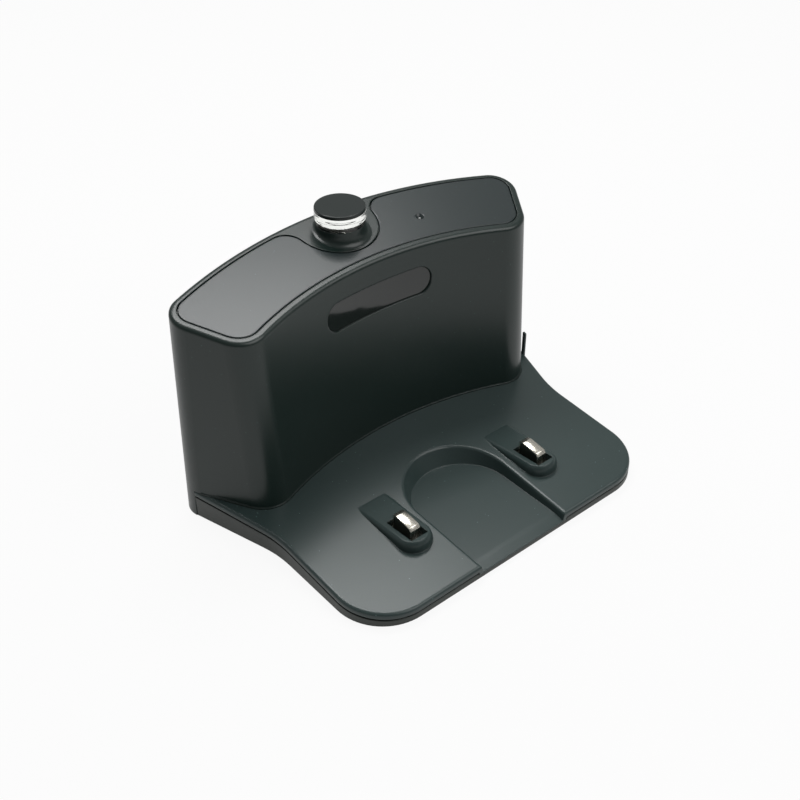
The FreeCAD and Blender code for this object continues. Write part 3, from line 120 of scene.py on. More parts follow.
class DockFinishSettings(bpy.types.PropertyGroup):
    """Colours, finishes and fine shapes of the dock's pieces."""
    tower_colour: colour_setting("Tower colour", "Colour of the tower walls", (0.0085, 0.0188, 0.0158))
    deck_colour: colour_setting("Deck colour", "Colour of the sloping deck", (0.0325, 0.0512, 0.0494))
    panel_colour: colour_setting("Panel colour", "Colour of the top panel", (0.0150, 0.0238, 0.0244))
    tray_colour: colour_setting("Tray colour", "Colour of the lower tray", (0.0325, 0.0400, 0.0338))
    cap_colour: colour_setting("Cap colour", "Colour of the beacon's cap", (0.0138, 0.0194, 0.0181))
    window_colour: colour_setting("Window colour", "Smoked colour of the window", (0.0075, 0.0106, 0.0090))
    lens_colour: colour_setting("Lens colour", "Tint of the clear lens", (0.97, 0.98, 0.95))
    # Painted shade: near black on the clear lens's lower tier, standing in for the dark neck seen through it
    tier_painted_shade: colour_setting("Tier painted shade", "Painted shade on the lens's lower tier", (0.0006, 0.0006, 0.0005))
    pipe_colour: colour_setting("Pipe colour", "Tint of the light pipe", (0.9, 0.93, 0.95))
    lamp_colour: colour_setting("Lamp colour", "Resin of the lamp's head", (0.20, 0.21, 0.21))
    contact_colour: colour_setting("Contact colour", "Plating of the contacts", (0.75, 0.72, 0.64))
    slider_colour: colour_setting("Slider colour", "Colour of the sliders", (0.0175, 0.0210, 0.0160))
    spring_colour: colour_setting("Spring colour", "Wire of the contact springs", (0.55, 0.55, 0.56))
    screw_colour: colour_setting("Screw colour", "Zinc plating of the screws", (0.6, 0.6, 0.6))
    foot_colour: colour_setting("Foot colour", "Rubber of the feet", (0.012, 0.012, 0.012))
    board_colour: colour_setting("Board colour", "Lacquer of the circuit boards", (0.02, 0.11, 0.045))
    emitter_colour: colour_setting("Emitter colour", "Resin of the emitters", (0.7, 0.72, 0.85))
    ballast_colour: colour_setting("Ballast colour", "Iron of the ballast", (0.16, 0.15, 0.145))
    inlet_colour: colour_setting("Inlet colour", "Colour of the power inlet", (0.01, 0.01, 0.01))
    shell_roughness: share_setting("Shell roughness", "Roughness of the satin plastics", 0.29)
    tray_roughness: share_setting("Tray roughness", "Roughness the tray has beyond the shell's", 0.05)
    grain_size: length_setting("Grain size", "Size of the moulded surface grain", 0.7 * MM)
    edge_round: length_setting("Edge round", "Radius at which sharp edges catch the light", 0.8 * MM)
    lens_tier: length_setting("Lens tier", "Height of the lens's lower tier", 2.6 * MM)
    lens_step: length_setting("Lens step", "Set-back of the lens's lower tier", 0.7 * MM)
    lens_bevel: length_setting("Lens bevel", "Rounded lower edge of the lens", 0.3 * MM)
    ring_pitch: length_setting("Ring pitch", "Distance between the lens's turned rings", 1.7 * MM)
    ring_height: length_setting("Ring height", "Height of the lens's turned rings", 0.012 * MM)
    dimple_rim: length_setting("Dimple rim", "Flat rim round the hollow cone in the lens", 3.2 * MM)
    dimple_depth: length_setting("Dimple depth", "Depth of the hollow cone in the lens", 3.6 * MM)
    dimple_point: share_setting("Dimple point", "Width of the cone's tip as a share of its mouth", 0.12)
    lamp_radius: length_setting("Lamp radius", "Radius of the lamp's domed head", 0.95 * MM)
    lamp_sink: length_setting("Lamp sink", "How far the head sits in the light pipe", 0.05 * MM)
    lamp_dome: share_setting("Lamp dome", "Rise of the head as a share of its radius", 0.7)
    strip_bevel: length_setting("Strip bevel", "Rounded edge of the contact strips", 0.3 * MM)
    crown_across: length_setting("Crown across", "Radius of the strips' crown across their width", 14.0 * MM)
    crown_along: length_setting("Crown along", "Radius of the strips' crown along their length", 40.0 * MM)
    pane_lean: angle_setting("Pane lean", "Turn of the window's face out of the leaning wall", 2.2)
    pane_crown: bpy.props.FloatProperty(
        name="Pane crown", description="Bulge of the window's face up and down, per metre", default=1.0)
    pane_waves: length_setting("Pane waves", "Height of the slow waves in the window's face", 0.1 * MM)
    cross_width: length_setting("Cross width", "Arm width of the screws' cross recess", 0.75 * MM)
    cross_reach: length_setting("Cross reach", "Arm length of the screws' cross recess", 1.25 * MM)
    cross_depth: length_setting("Cross depth", "Depth of the screws' cross recess", 1.1 * MM)
    foot_border: length_setting("Foot border", "Width of the feet's raised border", 1.5 * MM)
    foot_hollow: length_setting("Foot hollow", "Depth of the hollow inside that border", 0.3 * MM)


class DockStageSettings(bpy.types.PropertyGroup):
    """Camera, light and floor of the studio stage."""
    azimuth: angle_setting("Azimuth", "Camera direction round the dock, from the front", -40.32)
    elevation: angle_setting("Elevation", "Camera direction above the floor", 37.59)
    roll: angle_setting("Roll", "Turn of the camera about its own axis", 0.09)
    distance: length_setting("Distance", "Camera to the aimed point", 0.5835)
    aim: bpy.props.FloatVectorProperty(
        name="Aim", description="Point the camera looks at",
        subtype="TRANSLATION", unit="LENGTH", size=3, default=(-0.0028, 0.0030, 0.045))
    focal: bpy.props.FloatProperty(
        name="Focal length", description="Focal length on the sensor",
        subtype="DISTANCE_CAMERA", unit="CAMERA", default=52.68)
    centre_x: bpy.props.FloatProperty(
        name="Centre across", description="Picture column of the optical axis", default=410.3)
    centre_y: bpy.props.FloatProperty(
        name="Centre down", description="Picture row of the optical axis", default=400.4)
    lamp_distance: length_setting("Lamp distance", "Softbox and fill to the dock", 1.2)
    softbox_azimuth: angle_setting("Softbox azimuth", "Softbox direction, from the rear to the right", 17.0)
    softbox_elevation: angle_setting("Softbox elevation", "Softbox direction above the floor", 65.0)
    softbox_width: length_setting("Softbox width", "Width of the softbox", 0.9)
    softbox_height: length_setting("Softbox height", "Height of the softbox", 0.34)
    softbox_power: power_setting("Softbox power", "Power of the softbox", 8.6)
    fill_azimuth: angle_setting("Fill azimuth", "Fill direction, from the rear to the right", 148.0)
    fill_elevation: angle_setting("Fill elevation", "Fill direction above the floor", 51.0)
    fill_width: length_setting("Fill width", "Width of the fill", 0.9)
    fill_height: length_setting("Fill height", "Height of the fill", 0.75)
    fill_power: power_setting("Fill power", "Power of the fill", 5.2)
    world_front: share_setting("World front", "Strength of the surroundings in front", 0.13)
    world_rear: share_setting("World rear", "Strength of the surroundings high at the rear", 0.36)
    bright_way: bpy.props.FloatVectorProperty(
        name="Bright way", description="Direction of the brightest surroundings",
        subtype="DIRECTION", size=3, default=(0.38, 0.62, 0.68))
    floor_size: length_setting("Floor size", "Length of the floor's sides", 8.0)
    floor_shade: share_setting("Floor shade", "Grey of the floor under the lamps", 0.7)
    floor_white: share_setting("Floor white", "Share of plain white in the floor as it is seen", 0.92)
    floor_shine: share_setting("Floor shine", "Share of plain white in the floor's reflection", 0.4)


def finish_settings():
    return bpy.context.scene.dock_finish


def stage_settings():
    return bpy.context.scene.dock_stage


# Modelling helpers

def begin(name, primitive, **options):
    """Add a primitive with nothing else selected."""
    bpy.ops.object.select_all(action="DESELECT")
    primitive(**options)
    piece = bpy.context.object
    piece.name = name
    piece.data.name = name
    return piece


def copy_node(name, node):
    """Merged copy of a CAD node's mesh with its flat faces whole, as the only selected object."""
    bpy.ops.object.select_all(action="DESELECT")
    mesh = NODES[node].data.copy()
    mesh.name = name
    piece = bpy.data.objects.new(name, mesh)
    bpy.context.scene.collection.objects.link(piece)
    piece.select_set(True)
    bpy.context.view_layer.objects.active = piece
    bpy.ops.object.mode_set(mode="EDIT")
    bpy.ops.mesh.select_all(action="SELECT")
    bpy.ops.mesh.remove_doubles(threshold=MERGE_DISTANCE)
    bpy.ops.mesh.dissolve_limited(angle_limit=FLAT_ANGLE)
    bpy.ops.object.mode_set(mode="OBJECT")
    bpy.ops.mesh.customdata_custom_splitnormals_clear()
    return piece


def pick_faces(piece, test):
    """Select faces by their middle and normal, in edit mode."""
    bpy.ops.mesh.select_mode(type="FACE")
    bpy.ops.mesh.select_all(action="DESELECT")
    shape = bmesh.from_edit_mesh(piece.data)
    for face in shape.faces:
        face.select_set(test(face.calc_center_median(), face.normal))
    bmesh.update_edit_mesh(piece.data)


def pick_edges(piece, test):
    """Select edges by both their ends, in edit mode."""
    bpy.ops.mesh.select_mode(type="EDGE")
    bpy.ops.mesh.select_all(action="DESELECT")
    shape = bmesh.from_edit_mesh(piece.data)
    for edge in shape.edges:
        edge.select_set(all(test(vert.co) for vert in edge.verts))
    bmesh.update_edit_mesh(piece.data)


def extrude(offset):
    bpy.ops.mesh.extrude_region_move(TRANSFORM_OT_translate={"value": tuple(offset)})


def apply_modifier(piece, kind, **options):
    modifier = piece.modifiers.new(kind.lower(), kind)
    for name, value in options.items():
        setattr(modifier, name, value)
    bpy.context.view_layer.objects.active = piece
    bpy.ops.object.modifier_apply(modifier=modifier.name)


def settle(piece, material, body):
    """Put a finished piece's place into its mesh, smooth it and hand it to its body."""
    bpy.ops.object.select_all(action="DESELECT")
    piece.select_set(True)
    bpy.context.view_layer.objects.active = piece
    bpy.ops.object.transform_apply(location=True, rotation=True, scale=True)
    bpy.ops.object.shade_smooth_by_angle(angle=SMOOTH_ANGLE)
    piece.data.materials.clear()
    piece.data.materials.append(material)
    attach(piece, body)


def box_middle(node):
    low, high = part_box(node)
    return (Vector(low) + Vector(high)) / 2


# Shader helpers

def maths(tree, operation, first, second=0.0, third=None):
    """Math node; each term is a number or an output socket."""
    node = tree.nodes.new("ShaderNodeMath")
    node.operation = operation
    for socket, term in zip(node.inputs, (first, second, third)):
        if isinstance(term, (int, float)):
            socket.default_value = term
        elif term is not None:
            tree.links.new(term, socket)
    return node.outputs[0]


def noise(tree, place, scale, detail):
    """Noise texture's value; the scale is a number or an output socket."""
    node = tree.nodes.new("ShaderNodeTexNoise")
    node.inputs["Detail"].default_value = detail
    tree.links.new(place, node.inputs["Vector"])
    if isinstance(scale, float):
        node.inputs["Scale"].default_value = scale
    else:
        tree.links.new(scale, node.inputs["Scale"])
    return node.outputs["Fac"]


def object_place(tree):
    """Object coordinates, whole and apart as X, Y and Z."""
    place = tree.nodes.new("ShaderNodeTexCoord").outputs["Object"]
    parts = tree.nodes.new("ShaderNodeSeparateXYZ")
    tree.links.new(place, parts.inputs[0])
    return place, parts.outputs["X"], parts.outputs["Y"], parts.outputs["Z"]


def add_bump(tree, height, strength, depth):
    """Bump node fed by a height."""
    bump = tree.nodes.new("ShaderNodeBump")
    bump.inputs["Strength"].default_value = strength
    bump.inputs["Distance"].default_value = depth
    tree.links.new(height, bump.inputs["Height"])
    return bump.outputs["Normal"]


def bend_face(tree, height, depth=1.0):
    """Bend a finish's normals by a height, under the finish's own relief."""
    bent = add_bump(tree, height, 1.0, depth)
    tree.links.new(bent, tree.nodes["Bump"].inputs["Normal"])


# Node groups

def new_group(name, inputs):
    """Empty shader node group that puts out a height, a roughness and a shade."""
    group = bpy.data.node_groups.new(name, "ShaderNodeTree")
    for label, value in inputs.items():
        socket = group.interface.new_socket(label, in_out="INPUT", socket_type="NodeSocketFloat")
        socket.default_value = value
    for label in ("Height", "Roughness", "Shade"):
        group.interface.new_socket(label, in_out="OUTPUT", socket_type="NodeSocketFloat")
    entry = group.nodes.new("NodeGroupInput")
    return group, entry.outputs, group.nodes.new("NodeGroupOutput").inputs


def grain_group():
    """Moulded grain: fine bumps that break up the gloss, a slow drift in shade and specks of dust."""
    known = bpy.data.node_groups.get("moulded_grain")
    if known:
        return known
    group, entry, leave = new_group("moulded_grain", {
        "Grain": 1400.0, "Base Roughness": 0.4, "Roughness Spread": 0.03, "Shade Spread": 0.16,
        "Dust": 4.0, "Dust Scale": 230.0, "Dust Size": 0.045})
    place = group.nodes.new("ShaderNodeTexCoord").outputs["Object"]
    fine = noise(group, place, scale=entry["Grain"], detail=3.0)
    slow = noise(group, place, scale=22.0, detail=4.0)
    drift = maths(group, "SUBTRACT", fine, 0.5)
    gloss = maths(group, "MULTIPLY_ADD", drift, entry["Roughness Spread"], entry["Base Roughness"])
    mottle = maths(group, "SUBTRACT", maths(group, "ADD", fine, slow), 1.0)
    shade = maths(group, "MULTIPLY_ADD", mottle, entry["Shade Spread"], 1.0)
    cells = group.nodes.new("ShaderNodeTexVoronoi")
    group.links.new(entry["Dust Scale"], cells.inputs["Scale"])
    group.links.new(place, cells.inputs["Vector"])
    speck = maths(group, "LESS_THAN", cells.outputs["Distance"], entry["Dust Size"])
    group.links.new(fine, leave["Height"])
    group.links.new(gloss, leave["Roughness"])
    group.links.new(maths(group, "MULTIPLY_ADD", speck, entry["Dust"], shade), leave["Shade"])
    return group


def streak_group():
    """Drawn streaks: fine lines along one direction."""
    known = bpy.data.node_groups.get("drawn_streaks")
    if known:
        return known
    group, entry, leave = new_group("drawn_streaks", {
        "Across": 900.0, "Along": 90.0, "Base Roughness": 0.2, "Roughness Spread": 0.15, "Shade Spread": 0.2})
    _, x, y, z = object_place(group)
    stretched = group.nodes.new("ShaderNodeCombineXYZ")
    for axis, place, scale in (("X", x, "Across"), ("Y", y, "Along"), ("Z", z, "Along")):
        group.links.new(maths(group, "MULTIPLY", place, entry[scale]), stretched.inputs[axis])
    lines = noise(group, stretched.outputs[0], scale=4.0, detail=2.0)
    drift = maths(group, "SUBTRACT", lines, 0.5)
    gloss = maths(group, "MULTIPLY_ADD", drift, entry["Roughness Spread"], entry["Base Roughness"])
    group.links.new(lines, leave["Height"])
    group.links.new(gloss, leave["Roughness"])
    group.links.new(maths(group, "MULTIPLY_ADD", drift, entry["Shade Spread"], 1.0), leave["Shade"])
    return group


# Materials

def new_material(name):
    material = bpy.data.materials.new(name)
    material.use_nodes = True
    return material, material.node_tree, material.node_tree.nodes["Principled BSDF"]


def textured(name, colour, group, values, bump, depth):
    """Principled material whose shade, roughness and relief come from a node group."""
    material, tree, shader = new_material(name)
    surface = tree.nodes.new("ShaderNodeGroup")
    surface.node_tree = group
    for label, value in values.items():
        surface.inputs[label].default_value = value
    tint = tree.nodes.new("ShaderNodeVectorMath")
    tint.operation = "SCALE"
    tint.inputs[0].default_value = colour
    tree.links.new(surface.outputs["Shade"], tint.inputs["Scale"])
    tree.links.new(tint.outputs["Vector"], shader.inputs["Base Color"])
    tree.links.new(surface.outputs["Roughness"], shader.inputs["Roughness"])
    tree.links.new(add_bump(tree, surface.outputs["Height"], bump, depth), shader.inputs["Normal"])
    return material, shader


def moulded_plastic(name, colour, roughness, grain=None, bump=0.03, dust=4.0, specular=0.5, edge=0.0):
    """Satin plastic with a fine grain; edge is the radius at which its sharp edges catch the light."""
    size = grain or finish_settings().grain_size
    values = {"Grain": 1.0 / size, "Base Roughness": roughness, "Dust": dust}
    material, shader = textured(name, colour, grain_group(), values, bump, size * GRAIN_DEPTH)
    shader.inputs["Specular IOR Level"].default_value = specular
    if edge:
        tree = material.node_tree
        soft = tree.nodes.new("ShaderNodeBevel")
        soft.samples = EDGE_SAMPLES
        soft.inputs["Radius"].default_value = edge
        tree.links.new(soft.outputs["Normal"], tree.nodes["Bump"].inputs["Normal"])
    return material


def plated_metal(name, colour, roughness, bump=0.02):
    """Plated metal with fine drawn streaks."""
    values = {"Base Roughness": roughness, "Roughness Spread": roughness * STREAK_SPREAD}
    material, shader = textured(name, colour, streak_group(), values, bump, STREAK_DEPTH)
    shader.inputs["Metallic"].default_value = 1.0
    return material


def clear_plastic(name, colour, roughness):
    """Clear polished plastic with faint moulding ripples."""
    material, tree, shader = new_material(name)
    shader.inputs["Base Color"].default_value = (*colour, 1.0)
    shader.inputs["Transmission Weight"].default_value = 1.0
    shader.inputs["IOR"].default_value = CLEAR_INDEX
    place = tree.nodes.new("ShaderNodeTexCoord").outputs["Object"]
    ripple = noise(tree, place, scale=260.0, detail=2.0)
    gloss = maths(tree, "MULTIPLY_ADD", ripple, roughness, roughness / 2)
    tree.links.new(gloss, shader.inputs["Roughness"])
    tree.links.new(add_bump(tree, ripple, RIPPLE_STRENGTH, RIPPLE_DEPTH), shader.inputs["Normal"])
    return material


def dress(material, *nodes):
    """Give CAD nodes a finish."""
    for node in nodes:
        mesh = NODES[node].data
        mesh.materials.clear()
        mesh.materials.append(material)


# Operators

class DOCK_OT_shell(bpy.types.Operator):
    """Satin plastics of the tower, deck, tray and top panel"""
    bl_idname = "dock.shell"
    bl_label = "Shell"

    def execute(self, context):
        look = finish_settings()
        satin = look.shell_roughness
        edge = look.edge_round
        dress(moulded_plastic("tower_satin", look.tower_colour, satin, edge=edge), "tower_shell")
        dress(moulded_plastic("deck_satin", look.deck_colour, satin, bump=0.04, specular=0.425, edge=edge),
              "deck_plate")
        dress(moulded_plastic("panel_satin", look.panel_colour, satin, edge=edge), "top_panel")
        dress(moulded_plastic("tray_satin", look.tray_colour, satin + look.tray_roughness, edge=edge),
              "base_tray")
        return {"FINISHED"}


def lens_material(tier):
    """Clear plastic with faint turned rings; from outside, its lower tier is painted near black as painted
    shade of the dark neck behind it, while from inside it stays clear.
    """
    look = finish_settings()
    material = clear_plastic("lens_clear", look.lens_colour, roughness=0.02)
    tree = material.node_tree
    place, _, _, height = object_place(tree)
    rag = noise(tree, place, scale=900.0, detail=2.0)
    # Mask of the painted shade: below the ragged tier line, and only on faces seen from outside
    above = maths(tree, "GREATER_THAN", maths(tree, "MULTIPLY_ADD", rag, TIER_RAG, height), tier + TIER_LIFT)
    inside = tree.nodes.new("ShaderNodeNewGeometry").outputs["Backfacing"]
    # Mixes the painted near-black shade of the lower tier with the clear tint of the lens
    tint = tree.nodes.new("ShaderNodeMix")
    tint.data_type = "RGBA"
    tint.inputs["A"].default_value = (*look.tier_painted_shade, 1.0)
    tint.inputs["B"].default_value = (*look.lens_colour, 1.0)
    tree.links.new(maths(tree, "MAXIMUM", above, inside), tint.inputs["Factor"])
    tree.links.new(tint.outputs["Result"], tree.nodes["Principled BSDF"].inputs["Base Color"])
    turns = maths(tree, "SINE", maths(tree, "MULTIPLY", height, math.tau / look.ring_pitch))
    bend_face(tree, turns, look.ring_height)
    return material


class DOCK_OT_beacon(bpy.types.Operator):
    """Beacon: one clear lens with a hollow cone in its top, and the black cap on it"""
    bl_idname = "dock.beacon"
    bl_label = "Beacon"

    def execute(self, context):
        look = finish_settings()
        cap = moulded_plastic("cap_satin", look.cap_colour, roughness=0.3, dust=1.0, specular=0.375)
        dress(cap, "lens_cap")
        middle = box_middle("lens_ring")
        low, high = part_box("lens_ring")
        radius = (high.x - low.x) / 2
        tier = low.z + look.lens_tier
        lens = begin(
            "beacon_lens", bpy.ops.mesh.primitive_cylinder_add,
            vertices=LENS_SIDES, radius=radius, depth=high.z - tier,
            location=(middle.x, middle.y, (high.z + tier) / 2))
        bpy.ops.object.transform_apply(location=True, rotation=True, scale=True)
        bpy.ops.object.mode_set(mode="EDIT")
        pick_faces(lens, lambda centre, normal: normal.z < -FACING)
        bpy.ops.mesh.inset(thickness=look.lens_step)
        extrude((0.0, 0.0, low.z - tier))
        pick_faces(lens, lambda centre, normal: normal.z > FACING)
        bpy.ops.mesh.inset(thickness=look.dimple_rim)
        extrude((0.0, 0.0, -look.dimple_depth))
        bpy.ops.transform.resize(value=(look.dimple_point, look.dimple_point, 1.0), center_override=middle)
        pick_edges(lens, lambda point: (
            (point - middle).xy.length > radius - NEAR and point.z < tier + NEAR))
        bpy.ops.mesh.bevel(offset=look.lens_bevel, segments=3)
        bpy.ops.object.mode_set(mode="OBJECT")
        settle(lens, lens_material(tier), BODY)
        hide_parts("lens_ring", "beacon_reflector")
        return {"FINISHED"}


class DOCK_OT_window(bpy.types.Operator):
    """Polished smoked window, crowned and a little more upright than the wall round it"""
    bl_idname = "dock.window"
    bl_label = "Window"

    def execute(self, context):
        look = finish_settings()
        smoked = moulded_plastic(
            "window_smoked", look.window_colour, roughness=0.06,
            grain=4.0 * MM, bump=0.004, dust=0.0, specular=0.625)
        tree = smoked.node_tree
        place, _, _, height = object_place(tree)
        upright = maths(tree, "SUBTRACT", height, box_middle("ir_window").z)
        lean = maths(tree, "MULTIPLY", upright, math.tan(look.pane_lean))
        bulge = maths(tree, "MULTIPLY_ADD", maths(tree, "MULTIPLY", upright, upright), -look.pane_crown, lean)
        waves = noise(tree, place, scale=70.0, detail=1.0)
        bend_face(tree, maths(tree, "MULTIPLY_ADD", waves, look.pane_waves, bulge))
        dress(smoked, "ir_window")
        return {"FINISHED"}


class DOCK_OT_status_lamp(bpy.types.Operator):
    """Light pipe with a small domed head in the panel's dish"""
    bl_idname = "dock.status_lamp"
    bl_label = "Status Lamp"

    def execute(self, context):
        look = finish_settings()
        dress(clear_plastic("pipe_clear", look.pipe_colour, roughness=0.1), "light_pipe")
        middle = box_middle("light_pipe")
        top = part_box("light_pipe")[1].z
        place = Vector((middle.x, middle.y, top - look.lamp_sink))
        head = begin(
            "lamp_head", bpy.ops.mesh.primitive_uv_sphere_add,
            segments=32, ring_count=16, radius=look.lamp_radius, location=place)
        bpy.ops.object.mode_set(mode="EDIT")
        bpy.ops.mesh.select_all(action="SELECT")
        bpy.ops.mesh.bisect(plane_co=place, plane_no=(0.0, 0.0, 1.0), clear_inner=True, use_fill=True)
        bpy.ops.mesh.select_all(action="SELECT")
        bpy.ops.transform.resize(value=(1.0, 1.0, look.lamp_dome), center_override=place)
        bpy.ops.object.mode_set(mode="OBJECT")
        resin = moulded_plastic(
            "lamp_resin", look.lamp_colour, roughness=0.12, bump=0.02, dust=0.0, specular=0.75)
        settle(head, resin, BODY)
        return {"FINISHED"}


def contact_plating():
    """Streaked plating, crowned across and along the strips on both sides alike."""
    look = finish_settings()
    plating = plated_metal("contact_plating", look.contact_colour, roughness=0.26, bump=0.05)
    tree = plating.node_tree
    middle = box_middle("contact_right")
    _, x, y, _ = object_place(tree)
    across = maths(tree, "SUBTRACT", maths(tree, "ABSOLUTE", x), middle.x)
    along = maths(tree, "SUBTRACT", y, middle.y)
    bulge = maths(tree, "MULTIPLY", maths(tree, "MULTIPLY", across, across), -0.5 / look.crown_across)
    squared = maths(tree, "MULTIPLY", along, along)
    bend_face(tree, maths(tree, "MULTIPLY_ADD", squared, -0.5 / look.crown_along, bulge))
    return plating


class DOCK_OT_contacts(bpy.types.Operator):
    """Plated contact strips with broken edges, and their dark sliders"""
    bl_idname = "dock.contacts"
    bl_label = "Contacts"

    def execute(self, context):
        look = finish_settings()
        plating = contact_plating()
        for side in SIDES:
            strip = copy_node("contact_strip_" + side, "contact_" + side)
            apply_modifier(strip, "BEVEL", width=look.strip_bevel, segments=4,
                           limit_method="ANGLE", angle_limit=STRIP_EDGE_ANGLE)
            settle(strip, plating, side + "_contact")
            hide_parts("contact_" + side)
        dress(plating, "inlet_pin")
        dress(moulded_plastic("slider_black", look.slider_colour, roughness=0.3, dust=0.0),
              "contact_slider_left", "contact_slider_right")
        return {"FINISHED"}


class DOCK_OT_springs(bpy.types.Operator):
    """Coil springs under the sliders, one copied for each contact joint"""
    bl_idname = "dock.springs"
    bl_label = "Springs"

    def execute(self, context):
        wire = plated_metal("spring_wire", finish_settings().spring_colour, roughness=0.22)
        for joint in frame["joints"]:
            side = joint["child"].removesuffix("_contact")
            node = "contact_spring_" + side
            spring = copy_node("coil_spring_" + side, node)
            settle(spring, wire, BODY)
            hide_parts(node)
            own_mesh(spring)
        return {"FINISHED"}


def cross_cutter(place, size, reach, depth):
    """Cross-shaped cutter drawn out of a small cube's sides."""
    cutter = begin(
        "cross_cutter", bpy.ops.mesh.primitive_cube_add,
        size=1.0, location=place, scale=(size, size, 2 * depth))
    bpy.ops.object.transform_apply(location=True, rotation=True, scale=True)
    bpy.ops.object.mode_set(mode="EDIT")
    core = 0.6 * size
    for way in ((1, 0, 0), (-1, 0, 0), (0, 1, 0), (0, -1, 0)):
        out = Vector(way)
        pick_faces(cutter, lambda centre, normal: normal.dot(out) > FACING and (centre - place).length < core)
        extrude(out * (reach - size / 2))
    bpy.ops.object.mode_set(mode="OBJECT")
    return cutter


class DOCK_OT_screws(bpy.types.Operator):
    """Zinc-plated screws with a cross recess in their heads"""
    bl_idname = "dock.screws"
    bl_label = "Screws"

    def execute(self, context):
        look = finish_settings()
        zinc = plated_metal("screw_zinc", look.screw_colour, roughness=0.3)
        for node in ("deck_screws", "tower_screws"):
            copy_node(node + "_cut", node)
            bpy.ops.object.mode_set(mode="EDIT")
            bpy.ops.mesh.separate(type="LOOSE")
            bpy.ops.object.mode_set(mode="OBJECT")
            screws = list(context.selected_objects)
            for screw in screws:
                corners = [Vector(corner) for corner in screw.bound_box]
                middle = sum(corners, Vector()) / len(corners)
                base = Vector((middle.x, middle.y, min(corner.z for corner in corners)))
                cutter = cross_cutter(base, look.cross_width, look.cross_reach, look.cross_depth)
                apply_modifier(screw, "BOOLEAN", object=cutter, operation="DIFFERENCE", solver="EXACT")
                bpy.data.objects.remove(cutter)
            bpy.ops.object.select_all(action="DESELECT")
            for screw in screws:
                screw.select_set(True)
            context.view_layer.objects.active = screws[0]
            bpy.ops.object.join()
            joined = context.object
            joined.name = node + "_cut"
            settle(joined, zinc, BODY)
            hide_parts(node)
        dress(zinc, "board_screws")
        return {"FINISHED"}


class DOCK_OT_feet(bpy.types.Operator):
    """Rubber feet with a raised border round a shallow hollow"""
    bl_idname = "dock.feet"
    bl_label = "Feet"

    def execute(self, context):
        look = finish_settings()
        feet = copy_node("feet_bordered", "rubber_feet")
        bpy.ops.object.mode_set(mode="EDIT")
        pick_faces(feet, lambda centre, normal: normal.z < -FACING)
        bpy.ops.mesh.inset(thickness=look.foot_border, use_individual=True)
        extrude((0.0, 0.0, look.foot_hollow))
        bpy.ops.object.mode_set(mode="OBJECT")
        rubber = moulded_plastic("foot_rubber", look.foot_colour, roughness=0.8, bump=0.2, dust=8.0)
        settle(feet, rubber, BODY)
        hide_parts("rubber_feet")
        return {"FINISHED"}


class DOCK_OT_inner(bpy.types.Operator):
    """Boards, emitters, ballast and power inlet"""
    bl_idname = "dock.inner"
    bl_label = "Inner Pieces"

    def execute(self, context):
        look = finish_settings()
        dress(moulded_plastic("board_green", look.board_colour, roughness=0.35, dust=0.0),
              "beacon_board", "window_board")
        dress(clear_plastic("emitter_resin", look.emitter_colour, roughness=0.08),
              "beacon_emitter", "ir_emitter_left", "ir_emitter_right", "status_led")
        dress(plated_metal("ballast_iron", look.ballast_colour, roughness=0.55, bump=0.2), "ballast_plate")
        dress(moulded_plastic("inlet_black", look.inlet_colour, roughness=0.4), "dc_inlet")
        return {"FINISHED"}


# Stage

def seen_directly(tree):
    """1 for rays from the camera or through clear plastic, with the Light Path's outputs."""
    path = tree.nodes.new("ShaderNodeLightPath").outputs
    return maths(tree, "MAXIMUM", path["Is Camera Ray"], path["Is Transmission Ray"]), path


def floor_material():
    """Pale floor that reads as white and keeps a soft shadow of the dock."""
    look = stage_settings()
    material, tree, shader = new_material("floor_white")
    shade = look.floor_shade
    shader.inputs["Base Color"].default_value = (shade, shade, shade, 1.0)
    shader.inputs["Roughness"].default_value = 0.9
    shader.inputs["Specular IOR Level"].default_value = 0.1
    white = tree.nodes.new("ShaderNodeEmission")
    white.inputs["Strength"].default_value = 1.0
    seen, path = seen_directly(tree)
    shine = maths(tree, "MULTIPLY", path["Is Glossy Ray"], look.floor_shine)
    mix = tree.nodes.new("ShaderNodeMixShader")
    tree.links.new(maths(tree, "MULTIPLY_ADD", seen, look.floor_white, shine), mix.inputs["Fac"])
    tree.links.new(shader.outputs["BSDF"], mix.inputs[1])
    tree.links.new(white.outputs["Emission"], mix.inputs[2])
    tree.links.new(mix.outputs["Shader"], tree.nodes["Material Output"].inputs["Surface"])
    return material


def studio_world():
    """White surroundings, brighter overhead at the rear than in front."""
    look = stage_settings()
    world = bpy.data.worlds.new("studio")
    world.use_nodes = True
    tree = world.node_tree
    background = tree.nodes["Background"]
    background.inputs["Color"].default_value = (1.0, 1.0, 1.0, 1.0)
    direction = tree.nodes.new("ShaderNodeTexCoord").outputs["Generated"]
    towards = tree.nodes.new("ShaderNodeVectorMath")
    towards.operation = "DOT_PRODUCT"
    towards.inputs[1].default_value = look.bright_way
    tree.links.new(direction, towards.inputs[0])
    level = tree.nodes.new("ShaderNodeMapRange")
    level.inputs["From Min"].default_value = -0.5
    level.inputs["From Max"].default_value = 0.6
    level.inputs["To Min"].default_value = look.world_front
    level.inputs["To Max"].default_value = look.world_rear
    tree.links.new(towards.outputs["Value"], level.inputs["Value"])
    seen, _ = seen_directly(tree)
    tree.links.new(maths(tree, "MAXIMUM", level.outputs["Result"], seen), background.inputs["Strength"])
    return world


def add_softbox(name, azimuth, elevation, width, height, power):
    """Rectangular lamp that faces the dock."""
    data = bpy.data.lights.new(name, "AREA")
    data.shape = "RECTANGLE"
    data.size = width
    data.size_y = height
    data.energy = power
    flat = math.cos(elevation)
    way = Vector((math.sin(azimuth) * flat, math.cos(azimuth) * flat, math.sin(elevation)))
    lamp = bpy.data.objects.new(name, data)
    lamp.location = way * stage_settings().lamp_distance
    lamp.rotation_euler = (-way).to_track_quat("-Z", "Y").to_euler()
    bpy.context.scene.collection.objects.link(lamp)


